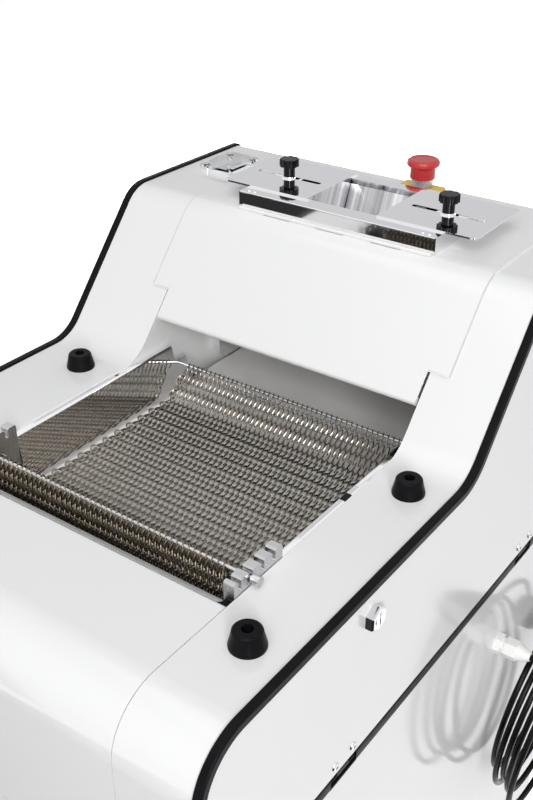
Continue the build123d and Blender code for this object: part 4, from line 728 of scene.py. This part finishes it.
over_rod = (np.abs(net_route[:, 0] - rod_top_middle) < rod_top_half) & (net_route[:, 1] > rod_top_rise)
rod_run = net_run[over_rod].mean()
fold_run = net_run[net_route[:, 0] > fold_depth].max()
last_row = rod_run - last_row_before_rod
rear_runs = np.linspace(first_row, last_row, 1 + round((last_row - first_row) / row_pitch))
rear_lifts = np.where(rear_runs > fold_run + fold_margin, sunk_lift, net_lift)
skirt_runs = np.arange(rod_run + skirt_start, net_run[-1] - skirt_margin, skirt_pitch)
lining_runs = skirt_runs[:-1] + skirt_pitch / 2
net_pieces = [
    net_rows("net_rows", rear_runs, base=rear_lifts),
    net_rows("net_skirt_rows", skirt_runs, skirt_reach, finish=skirt_painted_light_metal),
    net_rows(
        "net_skirt_lining",
        lining_runs,
        skirt_reach,
        base=net_lift - lining_sink,
        radius=lining_radius,
        finish=skirt_painted_light_metal,
    ),
    net_hooks("net_edge_hooks", rear_runs),
    rod_row("net_rear_rod_row", depth=490.0, rise=-24.0, hang=(-3.5, -3.5), radius=0.55),
    rod_row("net_front_rod_row", depth=181.8, rise=7.0, hang=(-2.0, -8.0), radius=0.75, finish=skirt_painted_light_metal),
]
for rows in net_pieces:
    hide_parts("curling_net")

# Screws of the bumpers and of the door hinges

socket_angle = 0.35
crown_points = 6
crown_share = 0.55
socket_share = 0.2
head_sink = 0.3
head_steps = 24
bumper_middle = 14.6
bumper_half = 221.8
bumper_depths = (119.7, 380.4)
bumper_screw_rise = 6.0
bumper_screw_radius = 4.8
hinge_depths = (203.0, 598.0)
hinge_half = 22.0
hinge_screw_half = 15.0
hinge_screw_rise = -175.0
hinge_screw_radius = 4.6


def button_heads(name, places, radius, axis, side, body, slot="satin_steel", finish=None):
    """Round screw heads with a socket: the profile goes out along the socket's floor, up its wall, over the
    crown in an arc and down to the sheet."""
    arc = np.linspace(socket_angle, np.pi / 2, crown_points)
    crown = radius * np.sin(arc)
    rise = crown_share * radius * np.cos(arc)
    floor = [socket_share * radius] * 2
    radii = np.concatenate([[0, crown[0]], crown, [radius, 0]])
    heights = np.concatenate([floor, rise, [-head_sink, -head_sink]])
    return piece(name, round_stack(radii, side * heights, places, head_steps, axis), body, slot, finish)


def around(middles, half):
    """Two places for each middle, a half width to either side of it."""
    return [middle + side * half for middle in middles for side in left_and_right]


bumper_spots = spots(around([bumper_middle], bumper_half), bumper_depths, [bumper_screw_rise])
button_heads("bumper_screws", bumper_spots, bumper_screw_radius, "Z", 1, "machine")

hinge_screw_depths = around(hinge_depths, hinge_screw_half)
for body, side in (("left_door", -1), ("right_door", 1)):
    hinge_spots = spots([side * door_face], hinge_screw_depths, [hinge_screw_rise])
    button_heads(
        body + "_hinge_screws",
        hinge_spots,
        hinge_screw_radius,
        "X",
        side,
        body,
        "polished_steel",
        fitting_metal,
    )

# Beads along the hopper's lip and below the doors

lip_half = 131.0
lip_depth = 580.7
lip_rises = np.array([160.2, 177.2])
lip_points = 40
bead_face = 281.2
bead_half = 1.5
bead_foot = -200.5
bead_tops = (-187.1, -197.0)
bead_margin = 0.5
bead_steps = 16


def lip_beads(radius, sides):
    """Round beads along the upper and lower edge of the hopper's front lip: straight wires across it."""
    paths = np.zeros((len(lip_rises), lip_points, 3))
    paths[..., 0] = np.linspace(hopper_middle - lip_half, hopper_middle + lip_half, lip_points)
    paths[..., 1], paths[..., 2] = level(lip_depth, lip_rises[:, None])
    ups = np.zeros_like(paths) + (0.0, 0.0, 1.0)
    return piece("hopper_lip_beads", wires(paths, ups, radius, sides), "machine", "polished_steel")


def seam_beads():
    """Rubber beads over the joint below each door: a flat oval, squared by the half power, carried along
    each stretch, low ones under the hinges, and drawn together at both ends."""
    angle = full_turn(bead_steps)
    size = np.array([0, 1, 1, 0])[:, None]
    across = size * bead_half * squared(np.cos(angle), 0.5)
    up = size * squared(np.sin(angle), 0.5)
    ends = [bead_margin, *around(hinge_depths, hinge_half), body_length - bead_margin]
    grids = []
    for side in left_and_right:
        for index, (start, end) in enumerate(zip(ends[:-1], ends[1:])):
            top = bead_tops[index % 2]
            depth = np.array([start, start, end, end])[:, None] + 0 * angle
            y, z = level(depth, (top + bead_foot) / 2 + (top - bead_foot) / 2 * up)
            grids.append(np.stack([side * (bead_face + across), y, z], -1))
    return piece("seam_beads", np.array(grids), "machine", "black_rubber")


lip_beads(radius=1.0, sides=10)
seam_beads()

# Rolled hems of the guard flap, painted grey as the shade line along its edges

flap_step = 72.0
flap_end = 576.0
flap_lower_half = 176.0
flap_upper_half = 200.5
hem_lift = 1.1
hem_radius = 0.85
hem_sides = 10


def flap_hems():
    """Rolled edges of the guard flap, grey as painted shade along the edge: on each side a wire goes out
    along the step, up the slope and over the brow in an arc."""
    slope = np.arctan2(hood_rise, slope_brow - slope_foot)
    square = np.array([-np.sin(slope), np.cos(slope)])
    foot = np.array([slope_foot + flap_step / np.tan(slope), flap_step]) + hem_lift * square
    brow = (slope_brow - hem_lift * np.tan(slope / 2), hood_rise + hem_lift)
    rear = (slope_brow + brow_bend, hood_rise + hem_lift)
    line = rounded_route([foot, brow, rear], [brow_bend + hem_lift])
    line = np.vstack([foot, line[line[:, 0] < flap_end]])
    across = np.full(len(line), flap_upper_half)
    across[0] = flap_lower_half
    y, z = level(line[:, 0], line[:, 1])
    paths = np.array([np.stack([belt_middle + side * across, y, z], -1) for side in left_and_right])
    ups = np.zeros_like(paths) + (0.0, *square)
    # Painted shade: the grey paint draws the shade line along the flap's rounded edges
    return piece("flap_hems", wires(paths, ups, hem_radius, hem_sides), "guard_flap", "grey_paint")


flap_hems()

# Rivets of the hopper and screws of the panels: the upper rear panel, the cabinet's rear and its front

rivet_offsets = (-121.0, -113.0, 113.0, 121.0)
rivet_depth = 586.5
rivet_rise = 178.0
rivet_radius = 1.8
rivet_spots = spots([hopper_middle + offset for offset in rivet_offsets], [rivet_depth], [rivet_rise])
button_heads("hopper_rivets", rivet_spots, rivet_radius, "Z", 1, "machine", "polished_steel")

panel_screw_radius = 4.4
cabinet_columns = (-262.0, 0.0, 262.0)
rear_spots = spots((-255.0, 255.0), [body_length], (-180.0, -40.0, 105.0))
rear_spots += spots(cabinet_columns, [body_length], (-218.0, -500.0, -768.0))
button_heads("rear_panel_screws", rear_spots, panel_screw_radius, "Y", 1, "machine")
front_spots = spots(cabinet_columns, [0.0], (-218.0, -768.0))
button_heads("front_panel_screws", front_spots, panel_screw_radius, "Y", -1, "machine")

# Flat pads: name, half sizes across and along, lowest and highest rise over the deck, places and finish

comb_pad_half = 172.5
pads = [
    ("window_strip", (7.0, 19.0), (157.0, 158.2), spots([-226.0], [699.0], [0.0]), "grey_paint"),
    # guide_slot: a black pad in place of the slot's opening, painted shade for its dark inside
    ("guide_slot", (3.4, 6.6), (-1.0, -0.2), spots([190.3], [339.5], [0.0]), "black_plastic"),
    ("guide_end_pads", (4.0, 21.0), (-0.7, 0.3), spots([190.2], [449.0], [0.0]), "black_rubber"),
    (
        "comb_pads",
        (5.6, 4.2),
        (-16.0, -5.0),
        spots(around([belt_middle], comb_pad_half), [152.6], [0.0]),
        "black_rubber",
    ),
]
for name, halves, rises, places, slot in pads:
    piece(name, slabs(*halves, *rises, places), "machine", slot)

# Ring round the stop button's neck

ring_spots = spots([27.5], [763.0], [0.0])
ring_inside = 13.3
ring_outside = 13.65
ring_foot = 161.9
ring_top = 172.6
ring_steps = 48
ring_radii = [ring_inside, ring_outside, ring_outside, ring_inside]
ring_heights = [ring_foot, ring_foot, ring_top, ring_top]
ring_grid = round_stack(ring_radii, ring_heights, ring_spots, ring_steps)
piece("stop_ring", ring_grid, "machine", "satin_steel", round_rows=True)

# Ribbed strip before the net: its section goes out along the upper side and back along the underside

apron_ends = (-152.0, 182.0)
apron_points = 668
apron_depths = np.array([148.3, 159.0, 158.6, 148.3])
apron_rises = np.array([-1.2, -9.0, -10.0, -2.6])
apron_ribbed = np.array([1.0, 1.0, 0.0, 0.0])
rib_height = 0.4
rib_pitch = 3.0


def apron_strip():
    """Ribbed strip from the front panel's edge down towards the net: its upper side rises and falls as a
    cosine across, one rib every 3 mm, and the section of four points closes at both ends."""
    x = np.linspace(*apron_ends, apron_points)[:, None]
    rib = rib_height * np.cos(2 * np.pi * x / rib_pitch)
    y, z = level(apron_depths + 0 * x, apron_rises + rib * apron_ribbed)
    strip = np.stack([x + 0 * y, y, z], axis=-1)
    ends = strip[[0, -1]].mean(axis=1, keepdims=True) + 0 * strip[[0, -1]]
    closed = np.concatenate([ends[:1], strip, ends[1:]])[None]
    return piece("apron_strip", closed, "machine", "grey_paint")


apron_strip()

# Floor, light and surroundings, in metres

floor_half = 30.0
floor_tones = (0.70, 0.74)
floor_cloud = 0.6
floor_glow = 0.8
room_fill = 0.266
lamp_aim = Vector((0.0, 0.0, 0.9))
# Each lamp: name, place, width and height, watts
lamps = [
    ("lamp_above", (0.3, -0.4, 3.3), (3.0, 3.0), 26.7),
    ("lamp_right", (2.79, -2.79, 2.34), (0.9, 2.0), 93.4),
    ("lamp_front", (0.91, -2.51, 2.84), (1.6, 1.2), 23.2),
    ("lamp_rear", (-2.6, 3.2, 0.62), (2.0, 1.2), 70.0),
]
# Each card: name, two opposite corners, tone
cards = [
    ("flag_left", (-0.9, -1.7, 0.02), (-0.9, -0.3, 0.8), (0.03, 0.03, 0.03)),
    ("flag_rear", (-4.0, 2.6, 1.3), (0.6, 2.6, 3.4), (0.66, 0.66, 0.68)),
    ("flag_floor", (-0.7, -2.2, 0.02), (2.0, -0.42, 0.02), (0.04, 0.04, 0.04)),
]


def bare_tree(holder):
    """The emptied node tree of a material or a world."""
    holder.use_nodes = True
    holder.node_tree.nodes.clear()
    return holder.node_tree


def rectangle(name, low, high, finish):
    """A flat card between two opposite corners, which agree on the axis that it faces along."""
    low, high = np.array(low), np.array(high)
    first, second = np.flatnonzero(low != high)
    corners = np.array([low] * 4)
    corners[1:3, first] = high[first]
    corners[2:4, second] = high[second]
    mesh = bpy.data.meshes.new(name)
    mesh.from_pydata(corners.tolist(), [], [(0, 1, 2, 3)])
    mesh.materials.append(finish)
    card = bpy.data.objects.new(name, mesh)
    scene.collection.objects.link(card)
    return card


def seen_or_lit(tree, lit, seen):
    """One shader for light that falls on things, and another for what the camera, mirrors and clear sheets
    see."""
    rays = tree.nodes.new("ShaderNodeLightPath").outputs
    sight = rays["Is Camera Ray"]
    for name in ("Is Glossy Ray", "Is Transmission Ray"):
        either = tree.nodes.new("ShaderNodeMath")
        either.operation = "MAXIMUM"
        tree.links.new(sight, either.inputs[0])
        tree.links.new(rays[name], either.inputs[1])
        sight = either.outputs[0]
    choose = tree.nodes.new("ShaderNodeMixShader")
    for socket, source in zip(choose.inputs, (sight, lit, seen)):
        tree.links.new(source, socket)
    return choose.outputs[0]


def flag(name, low, high, tone):
    """A flat card beside the object, which only mirror-like surfaces show."""
    finish = bpy.data.materials.new(name)
    tree = bare_tree(finish)
    light = tree.nodes.new("ShaderNodeEmission")
    light.inputs["Color"].default_value = (*tone, 1)
    out = tree.nodes.new("ShaderNodeOutputMaterial")
    tree.links.new(light.outputs[0], out.inputs["Surface"])
    card = rectangle(name, low, high, finish)
    card.visible_camera = False
    card.visible_diffuse = False
    card.visible_transmission = False
    card.visible_shadow = False


def studio_floor():
    """A pale, softly clouded floor that takes the object's shadow, and glows to white where it is seen."""
    finish = bpy.data.materials.new("studio_floor")
    tree = bare_tree(finish)
    new, link = tree.nodes.new, tree.links.new
    place = new("ShaderNodeTexCoord")
    cloud = new("ShaderNodeTexNoise")
    cloud.inputs["Scale"].default_value = floor_cloud
    link(place.outputs["Object"], cloud.inputs["Vector"])
    pale = new("ShaderNodeValToRGB")
    for stop, tone in zip(pale.color_ramp.elements, floor_tones):
        stop.color = (tone, tone, tone, 1)
    link(cloud.outputs["Fac"], pale.inputs["Fac"])
    matt = new("ShaderNodeBsdfDiffuse")
    link(pale.outputs["Color"], matt.inputs["Color"])
    glow = new("ShaderNodeEmission")
    glow.inputs["Strength"].default_value = floor_glow
    both = new("ShaderNodeAddShader")
    link(matt.outputs[0], both.inputs[0])
    link(glow.outputs[0], both.inputs[1])
    out = new("ShaderNodeOutputMaterial")
    link(seen_or_lit(tree, matt.outputs[0], both.outputs[0]), out.inputs["Surface"])
    floor = rectangle("studio_floor", (-floor_half, -floor_half, 0), (floor_half, floor_half, 0), finish)


def studio_lamp(name, place, size, power):
    """A soft rectangular lamp that faces the object."""
    lamp = bpy.data.lights.new(name, "AREA")
    lamp.shape = "RECTANGLE"
    lamp.size, lamp.size_y = size
    lamp.energy = power
    holder = bpy.data.objects.new(name, lamp)
    holder.location = place
    holder.rotation_euler = (lamp_aim - Vector(place)).to_track_quat("-Z", "Y").to_euler()
    scene.collection.objects.link(holder)


def bright_room():
    """A room that fills the shadows a little, and is white where it is seen."""
    world = bpy.data.worlds.new("bright_room")
    tree = bare_tree(world)
    fill = tree.nodes.new("ShaderNodeBackground")
    white = tree.nodes.new("ShaderNodeBackground")
    for light, strength in ((fill, room_fill), (white, 1.0)):
        light.inputs["Color"].default_value = (1, 1, 1, 1)
        light.inputs["Strength"].default_value = strength
    out = tree.nodes.new("ShaderNodeOutputWorld")
    tree.links.new(seen_or_lit(tree, fill.outputs[0], white.outputs[0]), out.inputs["Surface"])
    scene.world = world


studio_floor()
for lamp in lamps:
    studio_lamp(*lamp)
bright_room()
scene.view_settings.view_transform = "Standard"
for card in cards:
    flag(*card)
